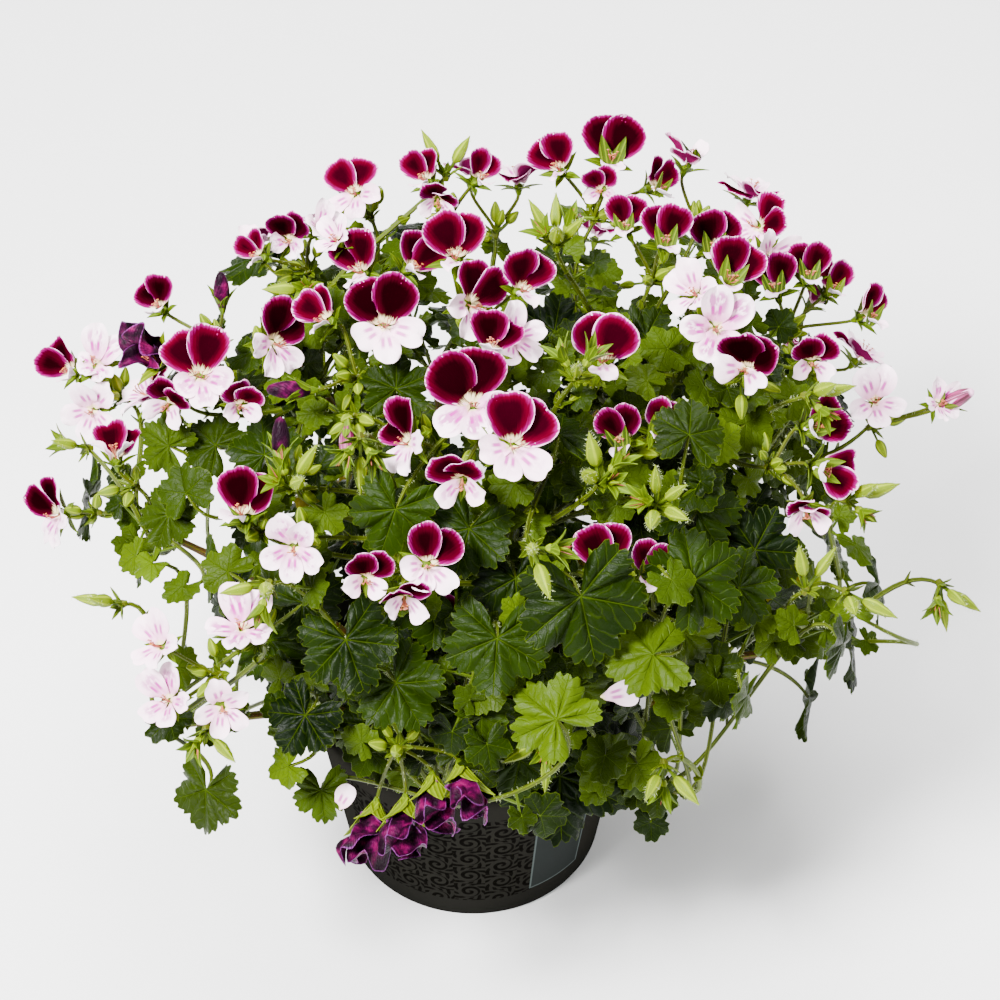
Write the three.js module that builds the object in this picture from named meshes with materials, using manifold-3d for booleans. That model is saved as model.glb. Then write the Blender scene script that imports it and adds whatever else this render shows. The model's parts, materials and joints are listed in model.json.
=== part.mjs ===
// Potted angel pelargonium: a round pot of soil, twelve leafy stems and their flower heads.
// Millimetres, +Z up. The origin is the middle of the pot's flat underside.
import * as THREE from "three";
import { mergeVertices } from "three/addons/utils/BufferGeometryUtils.js";
import Module from "manifold-3d";

const wasm = await Module();
wasm.setup();

// Pot and soil
const POT_HEIGHT = 108;
const POT_TOP_RADIUS = 76;
const POT_BASE_RADIUS = 61;
const POT_WALL = 1.8;
const POT_FLOOR = 2.4;
const LIP_HEIGHT = 9;
const LIP_REACH = 3;
const POT_SIDES = 22;
const DRAIN_HOLES = 4;
const DRAIN_RADIUS = 4;
const DRAIN_CIRCLE = 38;
const SOIL_LEVEL = 97;
const SOIL_CROWN = 3;
const GAP = 0.35;

// Stems
const STEM_BASE_RADIUS = 3.1;
const STEM_TIP_RADIUS = 1.5;
const STEM_SINK = 10;
const STEM_SIDES = 4;
const STEM_STEPS = 5;
const HOLE_MARGIN = 2.3;
const STALK_RADIUS = 1.05;
const STALK_STEPS = 3;
const PETIOLE_RADIUS = 0.95;
const PETIOLE_STEPS = 2;
const JOINT_SHARE = 0.7;

// Flowers and leaves
const BLADE = 0.65;
const UPPER_PETAL = 17.5;
const LOWER_PETAL = 15.5;
const UPPER_ANGLE = 38;
const HUB_RADIUS = 2.1;
const CALYX_LENGTH = 6;
const BUD_LENGTH = 15;
const BUD_RADIUS = 3;

// The viewpoint that the plant is laid out from: pixels of a square picture, 1000 across
const EYE = [13, -926, 1180];
const EYE_TILT = THREE.MathUtils.degToRad(46);
const PIXELS = 3044;
const PICTURE_MIDDLE = 500;

// The rounded crown of the plant: an ellipsoid that the open flowers lie on
const CROWN_MIDDLE = [15, 8, 178];
const CROWN_SIZE = [192, 182, 168];

const COLOURS = {
  pot: "#46443e",
  soil: "#2b211b",
  leafy: "#4f8a24",
  head: "#a01456",
};

const rad = THREE.MathUtils.degToRad;
const add = (a, b) => [a[0] + b[0], a[1] + b[1], a[2] + b[2]];
const sub = (a, b) => [a[0] - b[0], a[1] - b[1], a[2] - b[2]];
const mul = (a, s) => [a[0] * s, a[1] * s, a[2] * s];
const dot = (a, b) => a[0] * b[0] + a[1] * b[1] + a[2] * b[2];
const size = (a) => Math.sqrt(dot(a, a));
const unit = (a) => mul(a, 1 / size(a));
const cross = (a, b) => [
  a[1] * b[2] - a[2] * b[1],
  a[2] * b[0] - a[0] * b[2],
  a[0] * b[1] - a[1] * b[0],
];
const blend = (a, b, t) => add(mul(a, 1 - t), mul(b, t));
const sum = (...list) => list.reduce(add);

// Seeded random numbers from 0 to 1, the same in every run
let seed = 20261;
function chance() {
  seed = (Math.imul(seed, 1664525) + 1013904223) >>> 0;
  return seed / 4294967296;
}
const between = (low, high) => low + (high - low) * chance();

// Directions of the viewpoint: to the right, up in the picture, and back to the eye
const SIDEWAYS = [1, 0, 0];
const UPWARDS = [0, Math.sin(EYE_TILT), Math.cos(EYE_TILT)];
const TO_EYE = [0, -Math.cos(EYE_TILT), Math.sin(EYE_TILT)];

// The line of sight through a pixel, one millimetre deep
function sightOf(px, py) {
  return sum(
    mul(SIDEWAYS, (px - PICTURE_MIDDLE) / PIXELS),
    mul(UPWARDS, (PICTURE_MIDDLE - py) / PIXELS),
    mul(TO_EYE, -1),
  );
}

const depthOf = (p) => dot(sub(EYE, p), TO_EYE);
const atDepth = (px, py, depth) => add(EYE, mul(sightOf(px, py), depth));

// The point on the crown, raised by lift, that is seen at a pixel. Beside the crown it is the
// nearest point of that line of sight.
function onCrown(px, py, lift) {
  const ray = unit(sightOf(px, py));
  const from = sub(EYE, CROWN_MIDDLE);
  let a = 0;
  let b = 0;
  let c = -1;
  for (let k = 0; k < 3; k += 1) {
    const half = CROWN_SIZE[k] + lift;
    a += (ray[k] * ray[k]) / (half * half);
    b += (2 * ray[k] * from[k]) / (half * half);
    c += (from[k] * from[k]) / (half * half);
  }
  const inside = b * b - 4 * a * c;
  const t = inside > 0 ? (-b - Math.sqrt(inside)) / (2 * a) : -b / (2 * a);
  return add(EYE, mul(ray, t));
}

// The outward direction of the crown at a point
function outward(p) {
  const q = sub(p, CROWN_MIDDLE);
  return unit(q.map((v, k) => v / (CROWN_SIZE[k] * CROWN_SIZE[k])));
}

// A frame with its face direction n, its top u and its right r, turned clockwise by roll degrees
function frameOf(n, top, roll) {
  const u0 = unit(sub(top, mul(n, dot(top, n))));
  const r0 = cross(u0, n);
  const u = add(mul(u0, Math.cos(rad(roll))), mul(r0, Math.sin(rad(roll))));
  return { n, u, r: cross(u, n) };
}

// A frame that faces the eye, then turned to the picture's right and up
function facing(turn, tip, roll) {
  const n = sum(
    mul(TO_EYE, Math.cos(rad(turn)) * Math.cos(rad(tip))),
    mul(SIDEWAYS, Math.sin(rad(turn)) * Math.cos(rad(tip))),
    mul(UPWARDS, Math.sin(rad(tip))),
  );
  return frameOf(n, UPWARDS, roll);
}

// Leafy stems: azimuth of the foot, its distance from the middle, azimuth of the lean, reach of
// the tip from the middle, height of the tip
const STEMS = [
  [-92, 46, -96, 118, 160],
  [-52, 50, -50, 138, 150],
  [-14, 50, -12, 150, 158],
  [24, 48, 22, 140, 190],
  [62, 46, 60, 122, 178],
  [100, 46, 98, 126, 168],
  [138, 48, 136, 132, 178],
  [172, 50, 174, 148, 190],
  [212, 50, 210, 152, 158],
  [-60, 16, -76, 62, 250],
  [30, 18, 24, 62, 268],
  [160, 18, 156, 70, 262],
];

// How far the upper and the lower petals stand open, in degrees from the flower's axis, and how
// many lower petals a flower of each kind has
const KINDS = {
  open: { upper: 80, lower: 74, lowers: 3, tip: 4.4 },
  cup: { upper: 54, lower: 42, lowers: 2, tip: 4.4 },
  pair: { upper: 58, lower: 40, lowers: 1, tip: 4.4 },
  pale: { upper: 60, lower: 66, lowers: 3, tip: 0 },
  shut: { upper: 0, lower: 0, lowers: 0, tip: 0 },
  wilt: { upper: 24, lower: 16, lowers: 2, tip: 0 },
};

// Flower heads seen from the front: kind, place in the picture, turn to the right, tip up, roll
// clockwise and size of each flower. A head's first number lifts it off the crown.
const FRONT_HEADS = [
  [0, ["open", 356, 194, -20, 12, -14, 0.82]],
  [
    0,
    ["cup", 288, 240, -12, -8, 12, 0.8],
    ["pair", 265, 258, -40, 10, -30, 0.6],
    ["pale", 322, 226, 40, 30, 40, 0.62],
  ],
  [
    0,
    ["pair", 426, 180, -34, 20, -14, 0.7],
    ["cup", 438, 198, 0, -34, 10, 0.66],
    ["pair", 478, 180, 34, 24, 12, 0.66],
  ],
  [
    0,
    ["pair", 360, 270, -24, 14, -12, 0.94],
    ["open", 384, 326, 4, 8, -6, 1.06],
    ["pair", 410, 268, 36, 18, 32, 0.8],
    ["pale", 342, 245, -40, 30, -20, 0.56],
  ],
  [
    0,
    ["pair", 456, 258, -6, 18, 0, 1],
    ["open", 468, 304, 44, -8, 22, 0.92],
    ["pair", 520, 290, 26, 12, 8, 0.86],
    ["pale", 512, 338, 24, 6, -42, 0.82],
  ],
  [0, ["pair", 161, 308, -26, 24, -20, 0.7], ["shut", 222, 300, 0, 60, 14, 0.9]],
  [0, ["open", 272, 342, 46, -6, 18, 0.92]],
  [0, ["pair", 328, 320, -46, 10, -26, 0.74], ["shut", 302, 390, -70, 0, 0, 1]],
  [
    0,
    ["pair", 68, 370, -40, 8, -46, 0.82],
    ["pale", 97, 368, -6, 24, 30, 0.9],
    ["pale", 92, 410, -10, -14, 16, 0.86],
  ],
  [
    0,
    ["open", 200, 376, 4, 6, -10, 1.06],
    ["wilt", 152, 356, -40, 10, 0, 0.86],
    ["cup", 168, 404, -12, -28, 24, 0.76],
    ["cup", 240, 404, 16, -14, 0, 0.68],
  ],
  [0, ["shut", 347, 434, 0, -64, 0, 0.8]],
  [0, ["cup", 116, 458, -8, 60, 0, 0.78]],
  [0, ["open", 60, 514, -56, -8, -22, 0.9]],
  [0, ["pair", 244, 516, -14, 34, 14, 0.94]],
  [0, ["shut", 281, 452, 0, 70, 0, 1]],
  [0, ["pale", 294, 546, -6, -18, 4, 0.86]],
  [0, ["open", 410, 442, -50, 0, -26, 0.86]],
  [
    4,
    ["open", 472, 404, 0, 4, -14, 1.14],
    ["open", 512, 446, 12, 4, 16, 1.06],
    ["cup", 462, 478, -8, -30, -8, 0.86],
    ["pair", 490, 352, 14, 40, 20, 0.8],
  ],
  [0, ["pair", 602, 362, 4, 14, 4, 1.02]],
  [
    0,
    ["pair", 560, 170, -22, 16, -20, 0.84],
    ["pair", 610, 162, 8, 18, 6, 1.06],
    ["cup", 602, 190, -12, -10, 0, 0.6],
    ["pair", 651, 188, 58, 12, 18, 0.72],
  ],
  [
    0,
    ["pair", 626, 226, -10, 20, 0, 0.7],
    ["pair", 662, 246, 12, 20, 0, 0.84],
    ["pair", 712, 248, 6, 10, 4, 0.84],
  ],
  [0, ["open", 756, 226, -36, 10, 62, 0.86], ["pale", 764, 256, 34, -6, 84, 0.8]],
  [
    0,
    ["pair", 728, 280, 18, 16, 24, 0.96],
    ["pale", 700, 298, -34, 20, -34, 0.76],
    ["pale", 716, 328, 4, 0, 24, 1],
  ],
  [
    0,
    ["pair", 776, 288, -12, 26, -8, 0.82],
    ["pair", 806, 282, 8, 28, 4, 0.8],
    ["pair", 832, 288, 30, 26, 14, 0.7],
    ["pair", 860, 318, 48, 14, 10, 0.78],
  ],
  [0, ["cup", 746, 368, -14, -4, 26, 1]],
  [0, ["cup", 812, 362, 0, -16, 6, 0.74]],
  [
    0,
    ["pale", 874, 402, 4, 10, -6, 0.86],
    ["pale", 934, 406, 30, 14, 20, 0.6],
    ["shut", 950, 402, 64, 24, 0, 1],
  ],
  [
    0,
    ["pair", 812, 426, 44, 4, 66, 0.84],
    ["pair", 814, 466, 44, -14, 96, 0.84],
    ["cup", 806, 510, 6, -40, -8, 0.76],
  ],
  [-22, ["pair", 622, 440, -20, 10, -10, 0.78], ["pair", 652, 432, 20, 12, 20, 0.7]],
  [-20, ["pair", 606, 566, -8, 20, -8, 0.94], ["pair", 642, 576, 20, 10, 16, 0.74]],
  [
    0,
    ["cup", 366, 580, 6, -12, 10, 0.78],
    ["open", 426, 564, 8, -2, 18, 0.86],
    ["cup", 404, 600, 4, -44, 0, 0.8],
  ],
  [0, ["pale", 243, 630, -4, 36, 6, 0.94]],
  [
    0,
    ["pale", 162, 646, -34, 20, -20, 0.78],
    ["pale", 170, 700, -24, 10, -16, 0.8],
    ["pale", 222, 706, 10, -20, 10, 0.76],
  ],
];

// Heads round the back, by azimuth and height angle on the crown, with the sizes of their flowers
const REAR_HEADS = [
  [30, 22, 0.9, 0.74],
  [44, 4, 0.84],
  [54, 38, 0.94, 0.8],
  [76, 16, 0.9],
  [92, 40, 0.92, 0.76],
  [112, 14, 0.86],
  [132, 32, 0.92, 0.78],
  [150, 8, 0.84],
  [166, 24, 0.9],
];

// The drooping head over the front of the pot: place of its hub, then of each faded flower
const DROOPING = { hub: [398, 748], depth: -34, flowers: [[372, 826], [404, 822], [434, 800], [464, 788]] };

// Green umbels: place in the picture, lift, where their buds point (turn, tip), number of buds
const UMBELS = [
  [556, 246, 0, 0, 50, 6],
  [600, 482, 0, 10, 30, 4],
  [656, 506, 2, 6, 10, 5],
  [532, 548, 4, 30, -20, 3],
  [548, 738, -44, -40, -50, 3],
  [664, 764, -30, 10, -70, 3],
  [806, 590, -8, 40, 50, 2],
  [846, 592, 0, 40, -50, 2],
  [940, 584, 0, 50, -60, 4],
  [122, 604, 0, -60, -10, 2],
  [268, 584, 0, -30, -30, 3],
  [806, 396, 2, 60, -6, 3],
  [312, 290, 0, -40, -20, 3],
  [88, 448, 0, -70, -10, 2],
  [360, 438, 0, 0, -70, 3],
  [446, 176, 0, 10, 60, 2],
  [576, 380, -4, 0, 50, 3],
  [846, 500, 0, 60, 0, 3],
  [206, 730, -8, 10, -60, 2],
  [290, 488, 0, 0, 40, 4],
];

// Leaves seen from the front: place, width, lift, turn, tip up, and the way the midrib points,
// in degrees clockwise from the top of the picture
const FRONT_LEAVES = [
  [350, 652, 42, -8, -6, 10, 160],
  [402, 694, 40, -22, 0, 6, 150],
  [496, 652, 44, -14, 0, 4, 184],
  [584, 612, 54, -6, 6, 8, 166],
  [642, 656, 38, -2, -10, 14, -100],
  [548, 712, 38, -4, -6, 16, -50],
  [560, 792, 56, -62, 6, -6, 178],
  [466, 540, 38, -14, -8, 6, 196],
  [516, 590, 38, -12, 4, -4, 176],
  [690, 426, 32, 0, 10, 20, 10],
  [728, 444, 20, -4, 30, 0, 120],
  [704, 574, 44, -8, 16, 8, 60],
  [748, 586, 34, -18, 20, 6, 80],
  [166, 522, 28, -6, -20, 10, 200],
  [184, 486, 26, -14, -14, 12, -20],
  [205, 800, 36, 0, -34, 0, 190],
  [300, 724, 34, -18, -16, 10, 210],
  [322, 798, 28, -36, -10, -6, 176],
  [284, 768, 20, -26, -30, 0, 250],
  [380, 716, 34, -44, -4, 14, 40],
  [602, 776, 22, -40, 20, 0, 160],
  [744, 704, 28, -10, 70, -14, 186],
  [840, 652, 30, 0, 70, -14, 190],
  [850, 606, 20, -6, 16, 10, 0],
  [760, 540, 38, -26, 10, 4, 30],
  [530, 516, 22, -6, 0, 10, 20],
  [518, 770, 34, -50, 6, -4, 190],
  [162, 442, 28, -10, -20, 16, -60],
  [676, 586, 22, 0, 24, 0, 150],
  [148, 566, 18, -4, -30, 10, 230],
  [178, 590, 18, -4, -20, 0, 220],
  [556, 322, 34, -30, 0, 16, 10],
  [264, 446, 34, -30, -10, 20, -10],
  [392, 520, 38, -12, -6, 10, 200],
  [348, 508, 34, -16, -10, 10, 170],
  [436, 612, 40, -34, 0, 6, 186],
  [276, 650, 40, -14, -14, 12, 150],
  [312, 598, 34, -24, -8, 10, 60],
  [470, 716, 40, -48, 0, 6, 170],
  [640, 770, 24, -34, 20, -10, 150],
  [790, 560, 26, -10, 20, 10, 110],
  [700, 500, 40, -26, 10, 10, 20],
  [222, 568, 24, -4, -12, 12, -60],
  [650, 330, 32, -34, 10, 20, 30],
  [752, 420, 26, -34, 14, 20, 60],
  [210, 440, 30, -26, -14, 20, -50],
  [396, 380, 32, -24, 0, 20, 0],
  [560, 430, 36, -26, 4, 20, 10],
  [640, 520, 36, -30, 4, 10, 180],
  [690, 640, 30, -16, 16, 0, 140],
];

// Leaves behind and inside, on a spiral over the crown
const REAR_LEAVES = 26;
const INNER_LEAVES = 22;
const SPIRAL_STEP = 137.508;
const GOLDEN = 0.618034;

// Clearance between the pieces: each piece is a chain of balls
const placed = [];

function boxOf(balls) {
  const low = [Infinity, Infinity, Infinity];
  const high = [-Infinity, -Infinity, -Infinity];
  for (const ball of balls) {
    for (let k = 0; k < 3; k += 1) {
      low[k] = Math.min(low[k], ball.at[k] - ball.r);
      high[k] = Math.max(high[k], ball.at[k] + ball.r);
    }
  }
  return { low, high };
}

function place(owner, balls) {
  placed.push({ owner, balls, box: boxOf(balls) });
}

function hitsPot(ball) {
  const [x, y, z] = ball.at;
  if (z < ball.r + 1) {
    return true;
  }
  const away = Math.hypot(x, y);
  const inSoil = z < SOIL_LEVEL + SOIL_CROWN + ball.r;
  const beyondWall = away > POT_TOP_RADIUS + LIP_REACH + 1 + ball.r;
  const insideWall = away < POT_TOP_RADIUS - POT_WALL - 2 - ball.r;
  return z < POT_HEIGHT + 1 + ball.r && !beyondWall && (inSoil || !insideWall);
}

function isClear(owners, balls) {
  if (balls.some(hitsPot)) {
    return false;
  }
  const box = boxOf(balls);
  for (const other of placed) {
    if (owners.includes(other.owner)) {
      continue;
    }
    if ([0, 1, 2].some((k) => other.box.low[k] > box.high[k] || other.box.high[k] < box.low[k])) {
      continue;
    }
    for (const ball of balls) {
      for (const near of other.balls) {
        const gap = sub(ball.at, near.at);
        const reach = ball.r + near.r;
        if (dot(gap, gap) < reach * reach) {
          return false;
        }
      }
    }
  }
  return true;
}

// A cubic curve as points
function curve(p0, p1, p2, p3, steps) {
  const points = [];
  for (let k = 0; k <= steps; k += 1) {
    const t = k / steps;
    const s = 1 - t;
    points.push(sum(mul(p0, s * s * s), mul(p1, 3 * s * s * t), mul(p2, 3 * s * t * t), mul(p3, t * t * t)));
  }
  return points;
}

const STALK_MARGIN = 1.3;
const BALL_STEP = 4;

// Balls along a route, from one end's skip to the other's
function ballsAlong(points, radius, skipStart, skipEnd) {
  const balls = [];
  const first = points[0];
  const last = points[points.length - 1];
  for (let k = 1; k < points.length; k += 1) {
    const span = sub(points[k], points[k - 1]);
    const count = Math.ceil(size(span) / BALL_STEP);
    for (let j = 0; j < count; j += 1) {
      const at = add(points[k - 1], mul(span, (j + 0.5) / count));
      if (size(sub(at, first)) > skipStart && size(sub(at, last)) > skipEnd) {
        balls.push({ at, r: radius + STALK_MARGIN });
      }
    }
  }
  return balls;
}

const two = (number) => String(number).padStart(2, "0");
const stemName = (index) => `leafy_stem_${two(index + 1)}`;

// Main stems
const stems = STEMS.map(([footAzimuth, footOut, leanAzimuth, reach, height], index) => {
  const foot = [footOut * Math.cos(rad(footAzimuth)), footOut * Math.sin(rad(footAzimuth)), SOIL_LEVEL];
  const tip = [reach * Math.cos(rad(leanAzimuth)), reach * Math.sin(rad(leanAzimuth)), height];
  const rise = height - SOIL_LEVEL;
  const low = add(foot, [0, 0, 0.4 * rise]);
  const high = add(blend(foot, tip, 0.62), [0, 0, 0.12 * rise]);
  const points = curve(foot, low, high, tip, STEM_STEPS);
  place(stemName(index), ballsAlong(points, STEM_BASE_RADIUS - 0.6, 6, 0));
  return { name: stemName(index), foot, points, pieces: [] };
});

// The route of a stalk to its end, arriving along a direction: the shortest that is clear
const JOINTS = [1.4, 2.4, 3.4, 4.4, 4.9];
const BOWS = [0, 14, -14, 26, -26, 40, -40];
const SHORT_STALK = 36;

function stalkTo(end, arrive, radius, skipEnd, steps, target) {
  const tries = [];
  for (const stem of stems) {
    for (const joint of JOINTS) {
      const below = stem.points[Math.floor(joint)];
      const above = stem.points[Math.ceil(joint)];
      const from = blend(below, above, joint % 1);
      const along = unit(sub(above, below));
      const span = sub(end, from);
      const length = size(span);
      const bend = 1 - dot(unit(span), along);
      const turn = 1 - dot(unit(span), arrive);
      for (const bow of BOWS) {
        const crowd = 3 * stem.pieces.length;
        const cost = length * (1 + 0.35 * bend + 0.2 * turn) + Math.abs(bow) + crowd;
        tries.push({ stem, from, along, length, span, bow, cost });
      }
    }
  }
  tries.sort((one, other) => one.cost - other.cost);
  for (const t of tries) {
    const aside = mul(unit(add(cross(t.span, [0, 0, 1]), [0.001, 0, 0])), t.bow);
    const p1 = sum(t.from, mul(t.along, 0.3 * t.length), aside);
    const p2 = sum(end, mul(arrive, -0.34 * t.length), aside);
    const points = curve(t.from, p1, p2, end, t.length < SHORT_STALK ? steps - 1 : steps);
    const clearOfOwn = t.length > 8 && isClear([], ballsAlong(points, radius, 8, skipEnd));
    if (clearOfOwn && isClear([t.stem.name, target], ballsAlong(points, radius, 0, 0))) {
      return { stem: t.stem, points };
    }
  }
  return null;
}

const SMALL_FLOWER = 0.8;

// Petals of a flower: angle from the top, opening, length and half widths at two stations
function petalsOf(kind, scale) {
  const form = KINDS[kind];
  const petals = [];
  for (const side of [1, -1]) {
    const tip = scale < SMALL_FLOWER ? 0 : form.tip * scale;
    const length = UPPER_PETAL * scale;
    petals.push({ angle: UPPER_ANGLE * side, open: form.upper, length, wide: 7.6 * scale, tip });
  }
  const angles = { 0: [], 1: [180], 2: [116, 244], 3: [116, 180, 244] }[form.lowers];
  for (const angle of angles) {
    petals.push({ angle, open: form.lower, length: LOWER_PETAL * scale, wide: 4.6 * scale, tip: 0 });
  }
  return petals;
}

const STATIONS = [0, 0.6, 1];
const OPENING = [0.84, 1.12];

// The middle line of a petal from the hub's rim, with its across direction
function petalLine(frame, at, petal) {
  const out = add(mul(frame.r, Math.sin(rad(petal.angle))), mul(frame.u, Math.cos(rad(petal.angle))));
  const across = add(mul(frame.r, Math.cos(rad(petal.angle))), mul(frame.u, -Math.sin(rad(petal.angle))));
  const points = [add(at, mul(out, HUB_RADIUS))];
  const faces = [];
  for (let k = 1; k < STATIONS.length; k += 1) {
    const open = rad(petal.open * OPENING[k - 1]);
    const along = add(mul(out, Math.sin(open)), mul(frame.n, Math.cos(open)));
    points.push(add(points[k - 1], mul(along, petal.length * (STATIONS[k] - STATIONS[k - 1]))));
    faces.push(cross(across, along));
  }
  return { points, across, faces };
}

const PETAL_BALL = 2.7;

function flowerBalls(flower) {
  const balls = [{ at: flower.at, r: HUB_RADIUS + 1 }];
  if (flower.kind === "shut") {
    const tip = add(flower.at, mul(flower.frame.n, BUD_LENGTH * flower.scale));
    return ballsAlong([sub(flower.at, mul(flower.frame.n, CALYX_LENGTH)), tip], BUD_RADIUS, 0, 0);
  }
  for (const petal of petalsOf(flower.kind, flower.scale)) {
    const line = petalLine(flower.frame, flower.at, petal);
    for (const [from, part, wide] of [[0, 0.5, 0.5], [0, 0.95, 0.8], [1, 0.5, 0.6], [1, 0.9, 0.3]]) {
      const middle = blend(line.points[from], line.points[from + 1], part);
      for (const side of [-1, 0, 1]) {
        const spread = side * wide * petal.wide;
        balls.push({ at: add(middle, mul(line.across, spread)), r: PETAL_BALL });
      }
    }
  }
  return balls;
}

// Heads: flowers on short pedicels from one hub that lies inside them
const PEDICEL_REACH = 11;
const PEDICEL_SPREAD = 0.55;
const LIFTS = [0, 5, -5, 10, -10, 15, -15, 20, -20, 26, -26, 32];
const heads = [];

function calyxEnd(flower) {
  return sub(flower.at, mul(flower.frame.n, CALYX_LENGTH));
}

function makeHead(flowers) {
  const ends = flowers.map(calyxEnd);
  const middle = mul(ends.reduce(add), 1 / ends.length);
  const facing = unit(flowers.map((flower) => flower.frame.n).reduce(add));
  const away = unit(add(mul(outward(middle), 0.6), mul(facing, 0.4)));
  const spread = Math.max(...ends.map((end) => size(sub(end, middle))));
  const hub = sub(middle, mul(away, PEDICEL_REACH + PEDICEL_SPREAD * spread));
  return { flowers, hub, away };
}

function headBalls(head) {
  const balls = [{ at: head.hub, r: HUB_RADIUS + 1 }];
  for (const flower of head.flowers) {
    balls.push(...ballsAlong([head.hub, calyxEnd(flower)], STALK_RADIUS, 0, 0), ...flowerBalls(flower));
  }
  return balls;
}

function settleHead(flowersAt) {
  for (const lift of LIFTS) {
    const head = makeHead(flowersAt(lift));
    const balls = headBalls(head);
    const name = `head_${two(heads.length + 1)}`;
    if (!isClear([name], balls)) {
      continue;
    }
    head.name = name;
    place(name, balls);
    heads.push(head);
    return;
  }
}

// The flowers of a head keep close to one depth
const HEAD_DEPTH = 9;
const meanOf = (list) => list.reduce((total, one) => total + one, 0) / list.length;

for (const [lift, ...flowers] of FRONT_HEADS) {
  const middle = [meanOf(flowers.map((one) => one[1])), meanOf(flowers.map((one) => one[2]))];
  settleHead((extra) => {
    const depth = depthOf(onCrown(...middle, lift + extra));
    return flowers.map(([kind, px, py, turn, tip, roll, scale]) => {
      const own = depthOf(onCrown(px, py, lift + extra));
      const kept = Math.min(Math.max(own, depth - HEAD_DEPTH), depth + HEAD_DEPTH);
      return { kind, scale, at: atDepth(px, py, kept), frame: facing(turn, tip, roll) };
    });
  });
}

// A point of the crown by azimuth and height angle
function crownPoint(azimuth, height, lift) {
  const way = [
    Math.cos(rad(azimuth)) * Math.cos(rad(height)),
    Math.sin(rad(azimuth)) * Math.cos(rad(height)),
    Math.sin(rad(height)),
  ];
  return way.map((v, k) => CROWN_MIDDLE[k] + v * (CROWN_SIZE[k] + lift));
}

const REAR_SPREAD = 11;

for (const [azimuth, height, ...scales] of REAR_HEADS) {
  settleHead((extra) =>
    scales.map((scale, index) => {
      const aside = scales.length > 1 ? REAR_SPREAD * (index * 2 - 1) : 0;
      const at = crownPoint(azimuth + aside * 0.4, height + aside * 0.3, extra - 4);
      const away = unit(sum(outward(at), [0, 0, 0.5], mul(SIDEWAYS, 0.01 * aside)));
      return { kind: index === 0 ? "open" : "pair", scale, at, frame: frameOf(away, [0, 0, 1], aside) };
    }),
  );
}

// The drooping head: its hub is high over the rim and its flowers hang from it
{
  const hub = onCrown(...DROOPING.hub, DROOPING.depth);
  const flowers = DROOPING.flowers.map(([px, py], index) => ({
    kind: "wilt",
    scale: 1.06 - 0.06 * index,
    at: onCrown(px, py, DROOPING.depth + 4),
    frame: facing(-16 + 12 * index, -58, 0),
  }));
  const head = { flowers, hub, away: unit(add(TO_EYE, [0, 0, 0.6])) };
  head.name = `head_${two(heads.length + 1)}`;
  place(head.name, headBalls(head));
  heads.push(head);
}

// The stalk of each head, ending just short of the hub, from the farthest head to the nearest
const farthestFirst = [...heads].sort((one, other) => size(other.hub) - size(one.hub));

for (const head of farthestFirst) {
  const end = sub(head.hub, mul(head.away, HUB_RADIUS + GAP));
  const stalk = stalkTo(end, head.away, STALK_RADIUS, HUB_RADIUS + 4, STALK_STEPS, head.name);
  place(stalk.stem.name, ballsAlong(stalk.points, STALK_RADIUS, 0, 0));
  stalk.stem.pieces.push({ form: "stalk", points: stalk.points, radius: STALK_RADIUS });
}

// Outline of a leaf, as angle from the midrib, share of the half width and rise: five lobes with
// notches between, toothed on the large leaves. Hidden leaves are plain fans.
const LOBES = [-128, -64, 0, 64, 128];
const PLAIN = [-132, -86, -43, 0, 43, 86, 132];
const SMALL_LEAF = 41;

function leafOutline(leaf) {
  const outline = [];
  if (leaf.plain) {
    PLAIN.forEach((angle, index) => {
      const valley = index % 2 === 0;
      outline.push([angle, valley ? 0.9 : 1, valley ? -0.08 : 0.05]);
    });
    return outline;
  }
  LOBES.forEach((middle, index) => {
    const reach = 1 - 0.05 * Math.abs(index - 2);
    if (leaf.width > SMALL_LEAF) {
      outline.push([middle - 17, reach * 0.9, 0.06]);
    }
    outline.push([middle, reach, 0.06]);
    if (leaf.width > SMALL_LEAF) {
      outline.push([middle + 17, reach * 0.9, 0.06]);
    }
    if (index < LOBES.length - 1) {
      outline.push([middle + 32, 0.7, -0.1]);
    }
  });
  return outline;
}

// Points of a leaf: the foot of the blade, then the outline with its shallow folds
function leafPoints(leaf) {
  const half = leaf.width * 0.52;
  const foot = sub(leaf.at, mul(leaf.frame.u, half * 0.24));
  const edge = leafOutline(leaf).map(([angle, reach, rise]) => {
    const lift = rise > 0 ? rise - 0.2 * reach * leaf.droop : rise;
    return sum(
      foot,
      mul(leaf.frame.u, Math.cos(rad(angle)) * reach * half),
      mul(leaf.frame.r, Math.sin(rad(angle)) * reach * half),
      mul(leaf.frame.n, lift * half),
    );
  });
  return { foot, edge };
}

const LEAF_BALL = 2.7;

function leafBalls(leaf) {
  const { foot, edge } = leafPoints(leaf);
  const balls = [{ at: foot, r: LEAF_BALL }];
  edge.forEach((point, index) => {
    const next = edge[Math.min(index + 1, edge.length - 1)];
    const parts = index % 2 === 0 ? [0.38, 0.7, 0.97] : [0.55, 0.86];
    for (const part of parts) {
      balls.push({ at: blend(foot, point, part), r: LEAF_BALL });
    }
    balls.push({ at: blend(foot, blend(point, next, 0.5), 0.93), r: LEAF_BALL });
  });
  return balls;
}

// The direction in which the petiole comes up to the blade, from behind and below
const NECK = 4;

function leafArrival({ frame }) {
  return unit(add(mul(frame.n, 0.6), mul(frame.u, 0.8)));
}

// A leaf goes at the first place and tilt that is clear, on the petiole that is shortest there
const LEAF_LIFTS = [0, -7, 7, -14, 12, -21, -28, 18, -36, -44];
const LEAF_TILTS = [0, 22, -22, 40];
const PETIOLE_SEAT = 1;

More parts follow.
